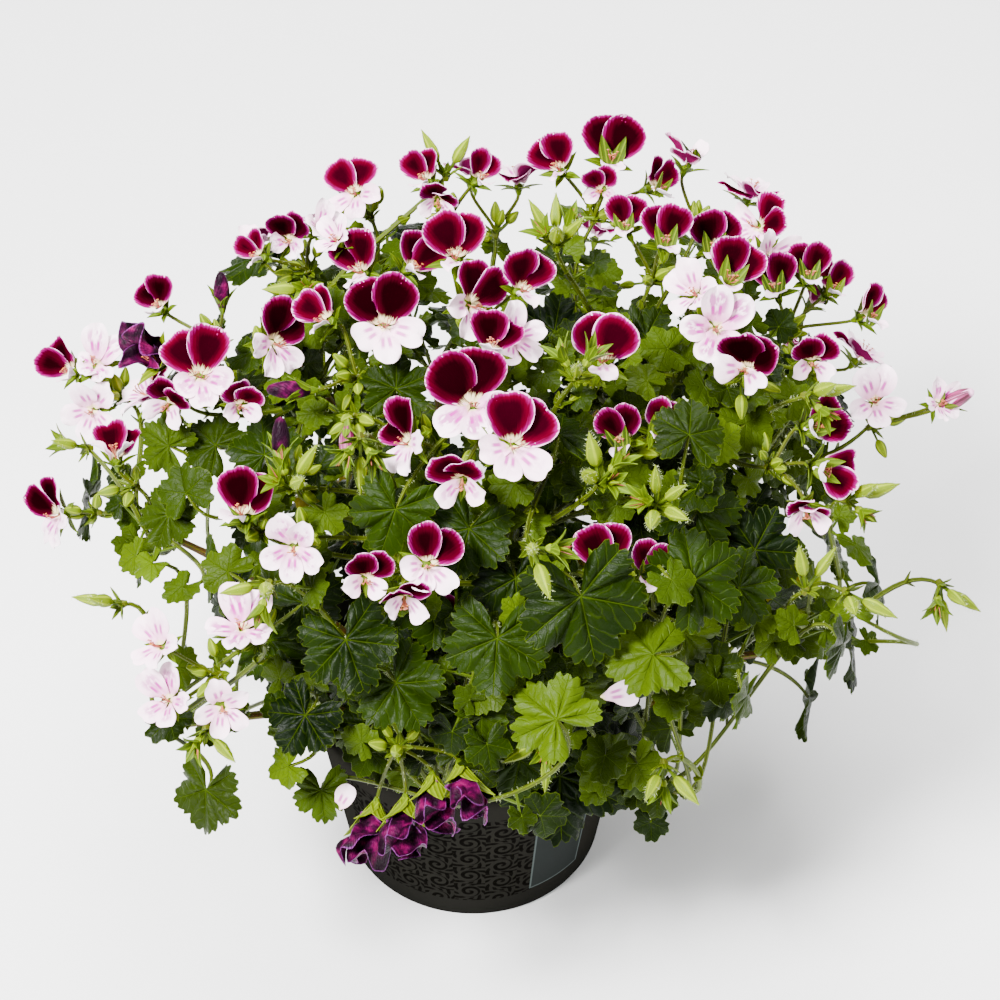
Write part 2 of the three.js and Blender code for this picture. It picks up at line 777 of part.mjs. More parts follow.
function settleLeaf(leafAt) {
  for (const lift of LEAF_LIFTS) {
    for (const tilt of LEAF_TILTS) {
      const leaf = leafAt(lift, tilt);
      const balls = leafBalls(leaf);
      if (!isClear([], balls)) {
        continue;
      }
      const seat = sub(leafPoints(leaf).foot, mul(leaf.frame.n, PETIOLE_SEAT));
      const stalk = stalkTo(seat, leafArrival(leaf), PETIOLE_RADIUS, 0, PETIOLE_STEPS);
      if (!stalk) {
        continue;
      }
      place(stalk.stem.name, ballsAlong(stalk.points, PETIOLE_RADIUS, 0, 0));
      place(stalk.stem.name, balls);
      stalk.stem.pieces.push({ form: "leaf", leaf, points: stalk.points });
      return;
    }
  }
}

function settleFrontLeaf([px, py, width, lift, turn, tip, roll]) {
  const droop = between(0.2, 1.2);
  settleLeaf((extra, tilt) => ({
    at: onCrown(px, py, lift + extra),
    width,
    droop,
    frame: facing(turn, tip + tilt, roll),
  }));
}

const byWidth = [...FRONT_LEAVES].sort((one, other) => other[2] - one[2]);
byWidth.filter(([, , width]) => width > SMALL_LEAF).forEach(settleFrontLeaf);

// Buds of a green umbel fan out round the direction that they point in
const UMBEL_HUB = 2.2;
const BUD_BELLY = 0.6;
const BUD_SPREAD = 0.7;
const umbelAngle = (k, count) => 360 * (k / count) + 30;

function umbelBuds(frame, count) {
  const buds = [];
  for (let k = 0; k < count; k += 1) {
    const angle = rad(umbelAngle(k, Math.max(3, count)));
    const way = unit(
      sum(frame.n, mul(frame.r, BUD_SPREAD * Math.cos(angle)), mul(frame.u, BUD_SPREAD * Math.sin(angle))),
    );
    buds.push({ way, length: between(1.3, 1.6) * BUD_LENGTH });
  }
  return buds;
}

for (const [px, py, lift, turn, tip, count] of UMBELS) {
  const frame = facing(turn, tip, 0);
  const held = seed;
  for (const extra of LIFTS) {
    seed = held;
    const hub = onCrown(px, py, lift + extra);
    const buds = umbelBuds(frame, count);
    const balls = buds.flatMap(({ way, length }) =>
      ballsAlong([hub, add(hub, mul(way, length))], BUD_RADIUS - 0.6, 0, 0),
    );
    if (!isClear([], balls)) {
      continue;
    }
    const arrive = unit(add(mul(outward(hub), 0.7), mul(frame.n, 0.5)));
    const stalk = stalkTo(hub, arrive, STALK_RADIUS, 0, STALK_STEPS);
    if (!stalk) {
      continue;
    }
    place(stalk.stem.name, ballsAlong(stalk.points, STALK_RADIUS, 0, 0));
    place(stalk.stem.name, balls);
    stalk.stem.pieces.push({ form: "stalk", points: stalk.points, radius: STALK_RADIUS });
    stalk.stem.pieces.push({ form: "umbel", hub, frame, buds });
    break;
  }
}

byWidth.filter(([, , width]) => width <= SMALL_LEAF).forEach(settleFrontLeaf);

function settleSpiralLeaf(azimuth, height, depth, width) {
  const droop = between(0.4, 1.6);
  const roll = between(150, 210);
  settleLeaf((extra, tilt) => {
    const at = crownPoint(azimuth, height, extra + depth);
    const away = unit(add(outward(at), [0, 0, 0.5 + tilt * 0.02]));
    return { at, width, droop, plain: true, frame: frameOf(away, [0, 0, 1], roll) };
  });
}

for (let k = 0; k < REAR_LEAVES; k += 1) {
  const height = -34 + 74 * ((k * GOLDEN) % 1);
  settleSpiralLeaf(((k * SPIRAL_STEP) % 196) - 8, height, -20, between(36, 50));
}

for (let k = 0; k < INNER_LEAVES; k += 1) {
  const height = 4 + 64 * ((k * GOLDEN) % 1);
  settleSpiralLeaf(-172 + ((k * SPIRAL_STEP) % 164), height, -58, between(30, 40));
}

// Closed shells of points and triangles, and their solids
class Shell {
  constructor() {
    this.points = [];
    this.faces = [];
  }

  point(p) {
    this.points.push(p);
    return this.points.length - 1;
  }

  tri(a, b, c) {
    this.faces.push([a, b, c]);
  }

  quad(a, b, c, d) {
    this.tri(a, b, c);
    this.tri(a, c, d);
  }

  solid() {
    let volume = 0;
    for (const [a, b, c] of this.faces) {
      volume += dot(this.points[a], cross(this.points[b], this.points[c]));
    }
    const faces = volume < 0 ? this.faces.map(([a, b, c]) => [a, c, b]) : this.faces;
    return solidOf(this.points.flat(), faces.flat());
  }
}

function solidOf(numbers, corners) {
  const mesh = new wasm.Mesh({
    numProp: 3,
    vertProperties: new Float32Array(numbers),
    triVerts: new Uint32Array(corners),
  });
  return new wasm.Manifold(mesh);
}

// A solid from a library shape, with its shared points merged
function solidFromGeometry(geometry) {
  geometry.deleteAttribute("normal");
  geometry.deleteAttribute("uv");
  const merged = mergeVertices(geometry, 1e-4);
  const index = merged.index.array;
  const corners = [];
  for (let k = 0; k < index.length; k += 3) {
    const [a, b, c] = [index[k], index[k + 1], index[k + 2]];
    if (a !== b && b !== c && c !== a) {
      corners.push(a, b, c);
    }
  }
  return solidOf(merged.attributes.position.array, corners);
}

// Two vectors across a direction
function acrossOf(way) {
  const hint = Math.abs(way[2]) < 0.9 ? [0, 0, 1] : [1, 0, 0];
  const first = unit(cross(way, hint));
  return [first, cross(way, first)];
}

// A round stalk along points, with its radius at each
function tube(points, radii, sides) {
  const shell = new Shell();
  let [first] = acrossOf(unit(sub(points[1], points[0])));
  const rings = points.map((p, k) => {
    const before = points[Math.max(k - 1, 0)];
    const after = points[Math.min(k + 1, points.length - 1)];
    const way = unit(sub(after, before));
    first = unit(sub(first, mul(way, dot(first, way))));
    const second = cross(way, first);
    const ring = [];
    for (let j = 0; j < sides; j += 1) {
      const angle = (2 * Math.PI * j) / sides;
      const spoke = add(mul(first, Math.cos(angle)), mul(second, Math.sin(angle)));
      ring.push(shell.point(add(p, mul(spoke, radii[k]))));
    }
    return ring;
  });
  for (let k = 1; k < rings.length; k += 1) {
    for (let j = 0; j < sides; j += 1) {
      const next = (j + 1) % sides;
      shell.quad(rings[k - 1][j], rings[k - 1][next], rings[k][next], rings[k][j]);
    }
  }
  const last = rings[rings.length - 1];
  for (let j = 1; j < sides - 1; j += 1) {
    shell.tri(rings[0][0], rings[0][j + 1], rings[0][j]);
    shell.tri(last[0], last[j], last[j + 1]);
  }
  return shell.solid();
}

// A spindle: pointed at both ends, widest at a share of its length
function spindle(from, to, radius, widest, sides) {
  const shell = new Shell();
  const way = unit(sub(to, from));
  const [first, second] = acrossOf(way);
  const start = shell.point(from);
  const end = shell.point(to);
  const middle = blend(from, to, widest);
  const ring = [];
  for (let j = 0; j < sides; j += 1) {
    const angle = (2 * Math.PI * j) / sides;
    const spoke = add(mul(first, Math.cos(angle)), mul(second, Math.sin(angle)));
    ring.push(shell.point(add(middle, mul(spoke, radius))));
  }
  for (let j = 0; j < sides; j += 1) {
    const next = (j + 1) % sides;
    shell.tri(start, ring[next], ring[j]);
    shell.tri(end, ring[j], ring[next]);
  }
  return shell.solid();
}

// The left and right corners of a petal at one place. A petal stops short of its neighbours.
const MEETING = 0.4;

function petalCorners({ at, frame }, across, middle, wide) {
  const spoke = sub(middle, at);
  const reach = size(sub(spoke, mul(frame.n, dot(spoke, frame.n))));
  const half = Math.min(wide, reach * Math.tan(rad(UPPER_ANGLE)) - MEETING);
  return [sub(middle, mul(across, half)), add(middle, mul(across, half))];
}

// A petal runs out from one side of the flower's middle to its widest place and its tip
function petalShell(shell, loop, flower, petal) {
  const line = petalLine(flower.frame, flower.at, petal);
  const [, wide, tip] = line.points;
  const [start, end] = petalCorners(flower, line.across, wide, petal.wide);
  const under = mul(line.faces[0], -BLADE);
  const corners = [start, end, add(end, under), add(start, under)].map((p) => shell.point(p));
  for (let j = 0; j < 4; j += 1) {
    shell.quad(loop[j], loop[(j + 1) % 4], corners[(j + 1) % 4], corners[j]);
  }
  const tipUnder = mul(line.faces[1], -BLADE);
  const [left, right, rightUnder, leftUnder] = corners;
  if (petal.tip === 0) {
    const over = shell.point(tip);
    const below = shell.point(add(tip, tipUnder));
    shell.tri(left, right, over);
    shell.quad(right, rightUnder, below, over);
    shell.tri(rightUnder, leftUnder, below);
    shell.quad(leftUnder, left, over, below);
    return;
  }
  const [first, second] = petalCorners(flower, line.across, tip, petal.tip);
  const rim = [first, second, add(second, tipUnder), add(first, tipUnder)];
  const last = rim.map((p) => shell.point(p));
  for (let j = 0; j < 4; j += 1) {
    shell.quad(corners[j], corners[(j + 1) % 4], last[(j + 1) % 4], last[j]);
  }
  shell.quad(...last);
}

// The three lower petals of an open flower lie side by side: one apron with three lobes, as angle
// from the top and share of the petal's length
const APRON = [[112, 1], [146, 0.72], [180, 1.04], [214, 0.72], [248, 1]];

function apronShell(shell, front, back, flower) {
  const { frame, at, scale } = flower;
  const open = rad(KINDS[flower.kind].lower);
  const upper = APRON.map(([angle, reach]) => {
    const out = add(mul(frame.r, Math.sin(rad(angle))), mul(frame.u, Math.cos(rad(angle))));
    const along = add(mul(out, Math.sin(open)), mul(frame.n, Math.cos(open)));
    return sum(at, mul(out, HUB_RADIUS), mul(along, LOWER_PETAL * scale * reach));
  });
  const top = upper.map((p) => shell.point(p));
  const under = upper.map((p) => shell.point(sub(p, mul(frame.n, BLADE))));
  for (let k = 0; k < 3; k += 1) {
    shell.tri(front[k + 1], top[k + 1], top[k]);
    shell.tri(front[k + 1], front[k + 2], top[k + 1]);
    shell.tri(back[k + 1], under[k], under[k + 1]);
    shell.tri(back[k + 1], under[k + 1], back[k + 2]);
  }
  shell.tri(front[4], top[4], top[3]);
  shell.tri(back[4], under[3], under[4]);
  shell.quad(front[1], top[0], under[0], back[1]);
  for (let k = 0; k < top.length - 1; k += 1) {
    shell.quad(top[k], top[k + 1], under[k + 1], under[k]);
  }
  shell.quad(top[4], front[4], back[4], under[4]);
}

// A flower: a five-sided middle whose sides run out into the petals, with five sepals behind
// and a pedicel that narrows to the hub of its head
const HUB_CORNERS = [0, 77, 148, 212, 283];
const SEPAL_REACH = 7;
const SEPAL_BACK = 1.4;

function flowerSolid(flower, hub) {
  const { frame, at } = flower;
  if (flower.kind === "shut") {
    const tip = add(at, mul(frame.n, BUD_LENGTH * flower.scale));
    return spindle(hub, tip, 4.2 * flower.scale, 0.72, 5);
  }
  const shell = new Shell();
  const front = [];
  const back = [];
  for (const angle of HUB_CORNERS) {
    const spoke = add(mul(frame.r, Math.sin(rad(angle))), mul(frame.u, Math.cos(rad(angle))));
    const corner = add(at, mul(spoke, HUB_RADIUS));
    front.push(shell.point(corner));
    back.push(shell.point(sub(corner, mul(frame.n, BLADE))));
  }
  const root = shell.point(hub);
  const petals = petalsOf(flower.kind, flower.scale);
  const aproned = KINDS[flower.kind].lowers === 3;
  if (aproned) {
    apronShell(shell, front, back, flower);
  }
  for (let k = 0; k < front.length; k += 1) {
    const next = (k + 1) % front.length;
    const loop = [front[k], front[next], back[next], back[k]];
    const from = HUB_CORNERS[k];
    const to = from + ((HUB_CORNERS[next] - from + 360) % 360);
    const petal = petals.find((one) => {
      const angle = (one.angle + 360) % 360;
      return angle > from && angle < to;
    });
    const inApron = aproned && k > 0 && k < 4;
    if (petal && !inApron) {
      petalShell(shell, loop, flower, petal);
    } else if (!inApron) {
      shell.quad(...loop);
    }
    if (aproned || k === 2 || k === 4) {
      shell.tri(back[k], back[next], root);
      continue;
    }
    const middle = rad((from + to) / 2);
    const out = add(mul(frame.r, Math.sin(middle)), mul(frame.u, Math.cos(middle)));
    const sepal = shell.point(sum(at, mul(out, SEPAL_REACH * flower.scale), mul(frame.n, -SEPAL_BACK)));
    shell.tri(back[k], back[next], sepal);
    shell.tri(back[next], root, sepal);
    shell.tri(root, back[k], sepal);
  }
  shell.tri(front[0], front[4], front[1]);
  shell.tri(front[1], front[4], front[3]);
  shell.tri(front[1], front[3], front[2]);
  return shell.solid();
}

function headSolid(head) {
  let solid = spindle(
    sub(head.hub, mul(head.away, HUB_RADIUS)),
    add(head.hub, mul(head.away, HUB_RADIUS)),
    HUB_RADIUS,
    0.5,
    3,
  );
  for (const flower of head.flowers) {
    solid = solid.add(flowerSolid(flower, head.hub));
  }
  return solid;
}

// A leaf and its petiole: the blade is a fan from its foot, split alike on both faces, and the
// three-sided petiole runs on from the foot down to the stem
function leafSolid({ leaf, points }) {
  const { foot, edge } = leafPoints(leaf);
  const { n, r } = leaf.frame;
  const shell = new Shell();
  const top = edge.map((p) => shell.point(p));
  const under = edge.map((p) => shell.point(sub(p, mul(n, BLADE))));
  const seat = sub(foot, mul(n, BLADE + PETIOLE_RADIUS));
  let ring = [
    shell.point(foot),
    shell.point(sub(seat, mul(r, PETIOLE_RADIUS))),
    shell.point(add(seat, mul(r, PETIOLE_RADIUS))),
  ];
  const [above, left, right] = ring;
  const middle = (edge.length - 1) / 2;
  for (let k = 0; k < edge.length - 1; k += 1) {
    shell.tri(above, top[k + 1], top[k]);
    shell.tri(k < middle ? left : right, under[k], under[k + 1]);
    shell.quad(top[k], top[k + 1], under[k + 1], under[k]);
  }
  shell.tri(left, under[middle], right);
  shell.quad(above, top[0], under[0], left);
  shell.quad(right, under[edge.length - 1], top[edge.length - 1], above);
  const arrive = leafArrival(leaf);
  const end = points[points.length - 1];
  const neck = sub(end, mul(arrive, NECK));
  const route = [...points.slice(0, -1), neck, end];
  let side = r;
  for (let k = route.length - 2; k >= 0; k -= 1) {
    const way = unit(sub(route[k + 1], route[Math.max(k - 1, 0)]));
    side = unit(sub(side, mul(way, dot(side, way))));
    const up = cross(side, way);
    const reach = PETIOLE_RADIUS * (k === 0 ? JOINT_SHARE : 1.05);
    const next = [
      shell.point(add(route[k], mul(up, reach))),
      shell.point(sum(route[k], mul(up, -0.5 * reach), mul(side, -0.87 * reach))),
      shell.point(sum(route[k], mul(up, -0.5 * reach), mul(side, 0.87 * reach))),
    ];
    for (let j = 0; j < 3; j += 1) {
      shell.quad(ring[j], ring[(j + 1) % 3], next[(j + 1) % 3], next[j]);
    }
    ring = next;
  }
  shell.tri(...ring);
  return shell.solid();
}

// A green umbel: a small hub whose front faces run out into the buds
function umbelSolid({ hub, frame, buds }) {
  const shell = new Shell();
  const front = add(hub, mul(frame.n, UMBEL_HUB));
  const apex = shell.point(front);
  const foot = shell.point(sub(hub, mul(frame.n, UMBEL_HUB)));
  const sides = Math.max(3, buds.length);
  const rim = [];
  for (let k = 0; k < sides; k += 1) {
    const angle = rad(umbelAngle(k - 0.5, sides));
    const spoke = add(mul(frame.r, Math.cos(angle)), mul(frame.u, Math.sin(angle)));
    rim.push(shell.point(add(hub, mul(spoke, UMBEL_HUB))));
  }
  for (let k = 0; k < sides; k += 1) {
    const next = (k + 1) % sides;
    shell.tri(foot, rim[next], rim[k]);
    const face = [apex, rim[k], rim[next]];
    if (k >= buds.length) {
      shell.tri(...face);
      continue;
    }
    const { way, length } = buds[k];
    const belly = add(hub, mul(way, length * BUD_BELLY));
    const middle = mul(sum(...face.map((corner) => shell.points[corner])), 1 / 3);
    const ring = face.map((corner) => {
      const spoke = sub(shell.points[corner], middle);
      return shell.point(add(belly, mul(unit(sub(spoke, mul(way, dot(spoke, way)))), BUD_RADIUS)));
    });
    const tip = shell.point(add(hub, mul(way, length)));
    for (let j = 0; j < 3; j += 1) {
      const after = (j + 1) % 3;
      shell.quad(face[j], face[after], ring[after], ring[j]);
      shell.tri(ring[j], ring[after], tip);
    }
  }
  return shell.solid();
}

function stalkSolid({ points, radius }) {
  const radii = points.map((p, k) => radius * (k === 0 ? JOINT_SHARE : 1.1));
  return tube(points, radii, 3);
}

// The main stem, whose foot goes straight down into its hole in the soil
function mainStemSolid(stem) {
  const points = [add(stem.foot, [0, 0, -STEM_SINK]), ...stem.points];
  const radii = points.map((p, k) => {
    const share = Math.max(k - 1, 0) / STEM_STEPS;
    return STEM_BASE_RADIUS + (STEM_TIP_RADIUS - STEM_BASE_RADIUS) * share;
  });
  return tube(points, radii, STEM_SIDES);
}

const PIECES = { stalk: stalkSolid, leaf: leafSolid, umbel: umbelSolid };

function stemSolid(stem) {
  let solid = mainStemSolid(stem);
  for (const piece of stem.pieces) {
    solid = solid.add(PIECES[piece.form](piece));
  }
  return solid;
}

// Turned shapes of the pot and the soil
function turned(profile) {
  const outline = profile.map(([radius, height]) => new THREE.Vector2(radius, height));
  const geometry = new THREE.LatheGeometry(outline, POT_SIDES);
  geometry.rotateX(Math.PI / 2);
  return solidFromGeometry(geometry);
}

const wallRadius = (z) => POT_BASE_RADIUS + ((POT_TOP_RADIUS - POT_BASE_RADIUS) * z) / POT_HEIGHT;

function potSolid() {
  const lipFoot = POT_HEIGHT - LIP_HEIGHT;
  let solid = turned([
    [0, 0],
    [POT_BASE_RADIUS, 0],
    [wallRadius(lipFoot), lipFoot],
    [POT_TOP_RADIUS + LIP_REACH, lipFoot + 1],
    [POT_TOP_RADIUS + LIP_REACH, POT_HEIGHT],
    [POT_TOP_RADIUS - POT_WALL, POT_HEIGHT],
    [wallRadius(POT_FLOOR) - POT_WALL, POT_FLOOR],
    [0, POT_FLOOR],
  ]);
  for (let k = 0; k < DRAIN_HOLES; k += 1) {
    const angle = (2 * Math.PI * (k + 0.5)) / DRAIN_HOLES;
    const [x, y] = [DRAIN_CIRCLE * Math.cos(angle), DRAIN_CIRCLE * Math.sin(angle)];
    const drill = tube([[x, y, -1], [x, y, POT_FLOOR + 1]], [DRAIN_RADIUS, DRAIN_RADIUS], 6);
    solid = solid.subtract(drill);
  }
  return solid;
}

function soilSolid() {
  const radiusAt = (z) => wallRadius(z) - POT_WALL - 2 * GAP;
  const floor = POT_FLOOR + GAP;
  let solid = turned([
    [0, floor],
    [radiusAt(floor), floor],
    [radiusAt(SOIL_LEVEL), SOIL_LEVEL],
    [radiusAt(SOIL_LEVEL) * 0.6, SOIL_LEVEL + SOIL_CROWN * 0.7],
    [0, SOIL_LEVEL + SOIL_CROWN],
  ]);
  for (const stem of stems) {
    const hole = add(stem.foot, [0, 0, -STEM_SINK - GAP]);
    const radius = STEM_BASE_RADIUS + HOLE_MARGIN;
    const drill = tube([hole, add(stem.foot, [0, 0, SOIL_CROWN + 4])], [radius, radius], STEM_SIDES);
    solid = solid.subtract(drill);
  }
  return solid;
}

// The largest body of a solid, as a mesh: loose scraps are dropped
function meshOf(name, solid, colour, roughness) {
  const bodies = solid.decompose();
  const body = bodies.reduce((most, one) => (one.volume() > most.volume() ? one : most));
  const { vertProperties, triVerts } = body.getMesh();
  const geometry = new THREE.BufferGeometry();
  geometry.setAttribute("position", new THREE.BufferAttribute(vertProperties, 3));
  geometry.setIndex(new THREE.BufferAttribute(triVerts, 1));
  geometry.computeVertexNormals();
  const material = new THREE.MeshStandardMaterial({ color: colour, roughness, metalness: 0 });
  material.flatShading = true;
  const mesh = new THREE.Mesh(geometry, material);
  mesh.name = name;
  return mesh;
}

const plant = new THREE.Group();
plant.add(meshOf("pot", potSolid(), COLOURS.pot, 0.62));
plant.add(meshOf("soil", soilSolid(), COLOURS.soil, 0.95));
for (const stem of stems) {
  plant.add(meshOf(stem.name, stemSolid(stem), COLOURS.leafy, 0.6));
}
for (const head of heads) {
  plant.add(meshOf(head.name, headSolid(head), COLOURS.head, 0.55));
}

export default plant;
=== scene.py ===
# %% [markdown]
# # A potted angel pelargonium
# The real plant is a pot of soil with a dozen leafy stems and about forty flower heads. The solids
# of the frame say where each stem and head is. Everything here is drawn finer in the same places.
# The frame is loaded first, because nothing may be placed before the fixed bodies are known.

# %% Load the frame
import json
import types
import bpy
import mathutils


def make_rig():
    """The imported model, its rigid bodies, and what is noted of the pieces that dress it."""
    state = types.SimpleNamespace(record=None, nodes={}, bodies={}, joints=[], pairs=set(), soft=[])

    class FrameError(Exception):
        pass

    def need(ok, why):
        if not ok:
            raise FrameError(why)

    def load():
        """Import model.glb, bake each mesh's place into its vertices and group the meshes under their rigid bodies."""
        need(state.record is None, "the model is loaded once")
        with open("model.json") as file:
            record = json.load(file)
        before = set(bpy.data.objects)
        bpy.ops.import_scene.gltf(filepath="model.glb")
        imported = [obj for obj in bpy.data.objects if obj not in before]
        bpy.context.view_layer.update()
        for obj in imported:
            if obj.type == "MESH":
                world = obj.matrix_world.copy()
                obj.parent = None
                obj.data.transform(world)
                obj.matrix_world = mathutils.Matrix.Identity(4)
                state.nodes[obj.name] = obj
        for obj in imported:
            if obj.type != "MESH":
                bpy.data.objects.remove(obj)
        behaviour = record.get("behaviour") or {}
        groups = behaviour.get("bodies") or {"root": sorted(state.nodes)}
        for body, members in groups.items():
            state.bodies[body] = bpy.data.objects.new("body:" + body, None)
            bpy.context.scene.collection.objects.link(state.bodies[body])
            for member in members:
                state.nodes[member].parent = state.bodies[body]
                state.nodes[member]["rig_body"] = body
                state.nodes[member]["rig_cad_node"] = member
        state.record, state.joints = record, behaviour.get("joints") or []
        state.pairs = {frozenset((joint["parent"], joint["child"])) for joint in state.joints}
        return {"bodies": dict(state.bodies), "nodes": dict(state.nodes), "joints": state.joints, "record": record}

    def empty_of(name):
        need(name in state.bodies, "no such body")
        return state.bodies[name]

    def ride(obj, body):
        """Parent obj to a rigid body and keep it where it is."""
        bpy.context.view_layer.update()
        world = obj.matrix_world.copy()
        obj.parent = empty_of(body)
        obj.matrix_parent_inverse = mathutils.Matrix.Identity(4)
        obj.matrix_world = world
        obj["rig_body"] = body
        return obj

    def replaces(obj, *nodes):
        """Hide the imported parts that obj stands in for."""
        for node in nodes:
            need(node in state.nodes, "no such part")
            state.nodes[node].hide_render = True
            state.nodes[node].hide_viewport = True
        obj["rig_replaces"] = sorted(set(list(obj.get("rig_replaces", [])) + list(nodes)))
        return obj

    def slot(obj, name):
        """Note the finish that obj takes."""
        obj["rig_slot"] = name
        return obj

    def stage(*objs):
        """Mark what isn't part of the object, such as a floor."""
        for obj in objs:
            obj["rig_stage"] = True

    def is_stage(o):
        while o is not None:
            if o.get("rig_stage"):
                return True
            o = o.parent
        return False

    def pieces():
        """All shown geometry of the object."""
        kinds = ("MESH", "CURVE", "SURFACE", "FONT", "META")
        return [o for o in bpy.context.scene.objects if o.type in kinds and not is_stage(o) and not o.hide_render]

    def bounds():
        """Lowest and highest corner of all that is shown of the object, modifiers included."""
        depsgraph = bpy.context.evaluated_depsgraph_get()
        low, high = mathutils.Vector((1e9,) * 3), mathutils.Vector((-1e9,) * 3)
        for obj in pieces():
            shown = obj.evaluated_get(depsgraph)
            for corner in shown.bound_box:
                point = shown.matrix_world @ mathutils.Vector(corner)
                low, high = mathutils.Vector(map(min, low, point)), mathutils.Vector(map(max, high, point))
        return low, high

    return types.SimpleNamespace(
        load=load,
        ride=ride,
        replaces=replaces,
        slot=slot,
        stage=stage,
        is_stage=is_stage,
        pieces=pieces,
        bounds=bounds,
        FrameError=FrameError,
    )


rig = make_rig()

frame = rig.load()
cad_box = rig.bounds()

import json
import math
import bpy
import numpy as np

MM = 0.001
TURN = 2 * math.pi
print("frame box:", [[round(v, 3) for v in corner] for corner in cad_box])

# %% [markdown]
# ## Viewpoint
# The picture was taken by someone standing over the plant, looking 46 degrees down with a long
# lens. A long lens far away keeps the pot from flaring out, so the camera stands 1.5 m off
# instead of using a wide lens close by.

# %% Camera
EYE = np.array((13.0, -926.0, 1180.0))
EYE_TILT = 46
PIXELS = 3044.0
PICTURE_MIDDLE = 500.0
SENSOR_MM = 36.0

camera_data = bpy.data.cameras.new("camera")
camera_data.sensor_width = SENSOR_MM
camera_data.lens = PIXELS / (2 * PICTURE_MIDDLE) * SENSOR_MM
camera_data.clip_end = 20
camera = bpy.data.objects.new("camera", camera_data)
camera.location = EYE * MM
camera.rotation_euler = (math.radians(90 - EYE_TILT), 0, 0)
bpy.context.scene.collection.objects.link(camera)
bpy.context.scene.camera = camera
print("lens:", round(camera_data.lens, 1), "mm")

# %% [markdown]
# ## Growth plan
# A plant can't be modelled leaf by leaf by hand, so it is grown by a rule: stems first, then
# heads on the crown of the plant, then stalks that find a clear way to them, then the leaves.
# The solids of the frame were grown by this same rule, with the same seed and the same numbers
# in millimetres. So each fine piece lands where its solid is.

# %% Vectors and seeded chance
rad = math.radians


def sine(degrees):
    return math.sin(rad(degrees))


def cosine(degrees):
    return math.cos(rad(degrees))


def dot(a, b):
    return a[0] * b[0] + a[1] * b[1] + a[2] * b[2]


def size(a):
    return math.sqrt(dot(a, a))


def unit(a):
    return a * (1 / size(a))


def sizes(rows):
    return np.linalg.norm(rows, axis=1)


def cross(a, b):
    (ax, ay, az), (bx, by, bz) = a, b
    return np.array((ay * bz - az * by, az * bx - ax * bz, ax * by - ay * bx))


def blend(a, b, t):
    return a * (1 - t) + b * t


def curve(bends, steps):
    """Points of a Bezier curve through the first and last of four bends."""
    t = np.linspace(0, 1, steps + 1)[:, None]
    s = 1 - t
    p0, p1, p2, p3 = bends
    return p0 * s**3 + 3 * p1 * s**2 * t + 3 * p2 * s * t**2 + p3 * t**3


class Chance:
    """The seeded random numbers that the solids were grown with."""

    seed = 20261

    def between(self, low, high):
        self.seed = (self.seed * 1664525 + 1013904223) & 0xFFFFFFFF
        return low + (high - low) * (self.seed / 4294967296)


chance = Chance()

# %% The crown of the plant, as seen from the camera
CROWN_MIDDLE = np.array((15, 8, 178))
CROWN_SIZE = np.array((192, 182, 168))
SIDEWAYS = np.array((1, 0, 0))
UPWARDS = np.array((0, sine(EYE_TILT), cosine(EYE_TILT)))
TO_EYE = np.array((0, -cosine(EYE_TILT), sine(EYE_TILT)))


def sight_of(px, py):
    """The line of sight through a pixel, one millimetre deep."""
    return (SIDEWAYS * ((px - PICTURE_MIDDLE) / PIXELS) + UPWARDS * ((PICTURE_MIDDLE - py) / PIXELS)
            - TO_EYE)


def depth_of(p):
    return dot(EYE - p, TO_EYE)


def in_picture(p):
    """Where a point is in the picture, in pixels."""
    depth = depth_of(p)
    return (PICTURE_MIDDLE + PIXELS * dot(p - EYE, SIDEWAYS) / depth,
            PICTURE_MIDDLE - PIXELS * dot(p - EYE, UPWARDS) / depth)


def on_crown(px, py, lift):
    """The point of the crown, raised by lift, that is seen at a pixel."""
    ray = unit(sight_of(px, py))
    start = EYE - CROWN_MIDDLE
    half = CROWN_SIZE + lift
    a = sum((ray * ray) / (half * half))
    b = sum((2 * ray * start) / (half * half))
    c = sum((start * start) / (half * half), -1)
    inside = b * b - 4 * a * c
    t = (-b - math.sqrt(inside)) / (2 * a) if inside > 0 else -b / (2 * a)
    return EYE + ray * t


def crown_point(azimuth, height, lift):
    way = np.array((cosine(azimuth) * cosine(height), sine(azimuth) * cosine(height), sine(height)))
    return CROWN_MIDDLE + way * (CROWN_SIZE + lift)


def outward(p):
    return unit((p - CROWN_MIDDLE) / (CROWN_SIZE * CROWN_SIZE))


def frame_of(n, top, roll):
    """Face direction n, top u and right r, turned clockwise by roll degrees."""
    u0 = unit(top - n * dot(top, n))
    u = u0 * cosine(roll) + cross(u0, n) * sine(roll)
    return n, u, cross(u, n)


def facing(turn, tip, roll):
    n = (TO_EYE * (cosine(turn) * cosine(tip)) + SIDEWAYS * (sine(turn) * cosine(tip))
         + UPWARDS * sine(tip))
    return frame_of(n, UPWARDS, roll)


# %% [markdown]
# ## What the picture shows
# The tables below say where each stem, flower, umbel and leaf is, read off the photograph.
# A table keeps the likeness, and the rule above fills in what the picture hides.

# %% Tables of stems, flowers and leaves
# Main stems: azimuth and distance of the foot, azimuth, distance and height of the tip
STEMS = [
    [-92, 46, -96, 118, 160], [-52, 50, -50, 138, 150], [-14, 50, -12, 150, 158],
    [24, 48, 22, 140, 190], [62, 46, 60, 122, 178], [100, 46, 98, 126, 168],
    [138, 48, 136, 132, 178], [172, 50, 174, 148, 190], [212, 50, 210, 152, 158],
    [-60, 16, -76, 62, 250], [30, 18, 24, 62, 268], [160, 18, 156, 70, 262],
]

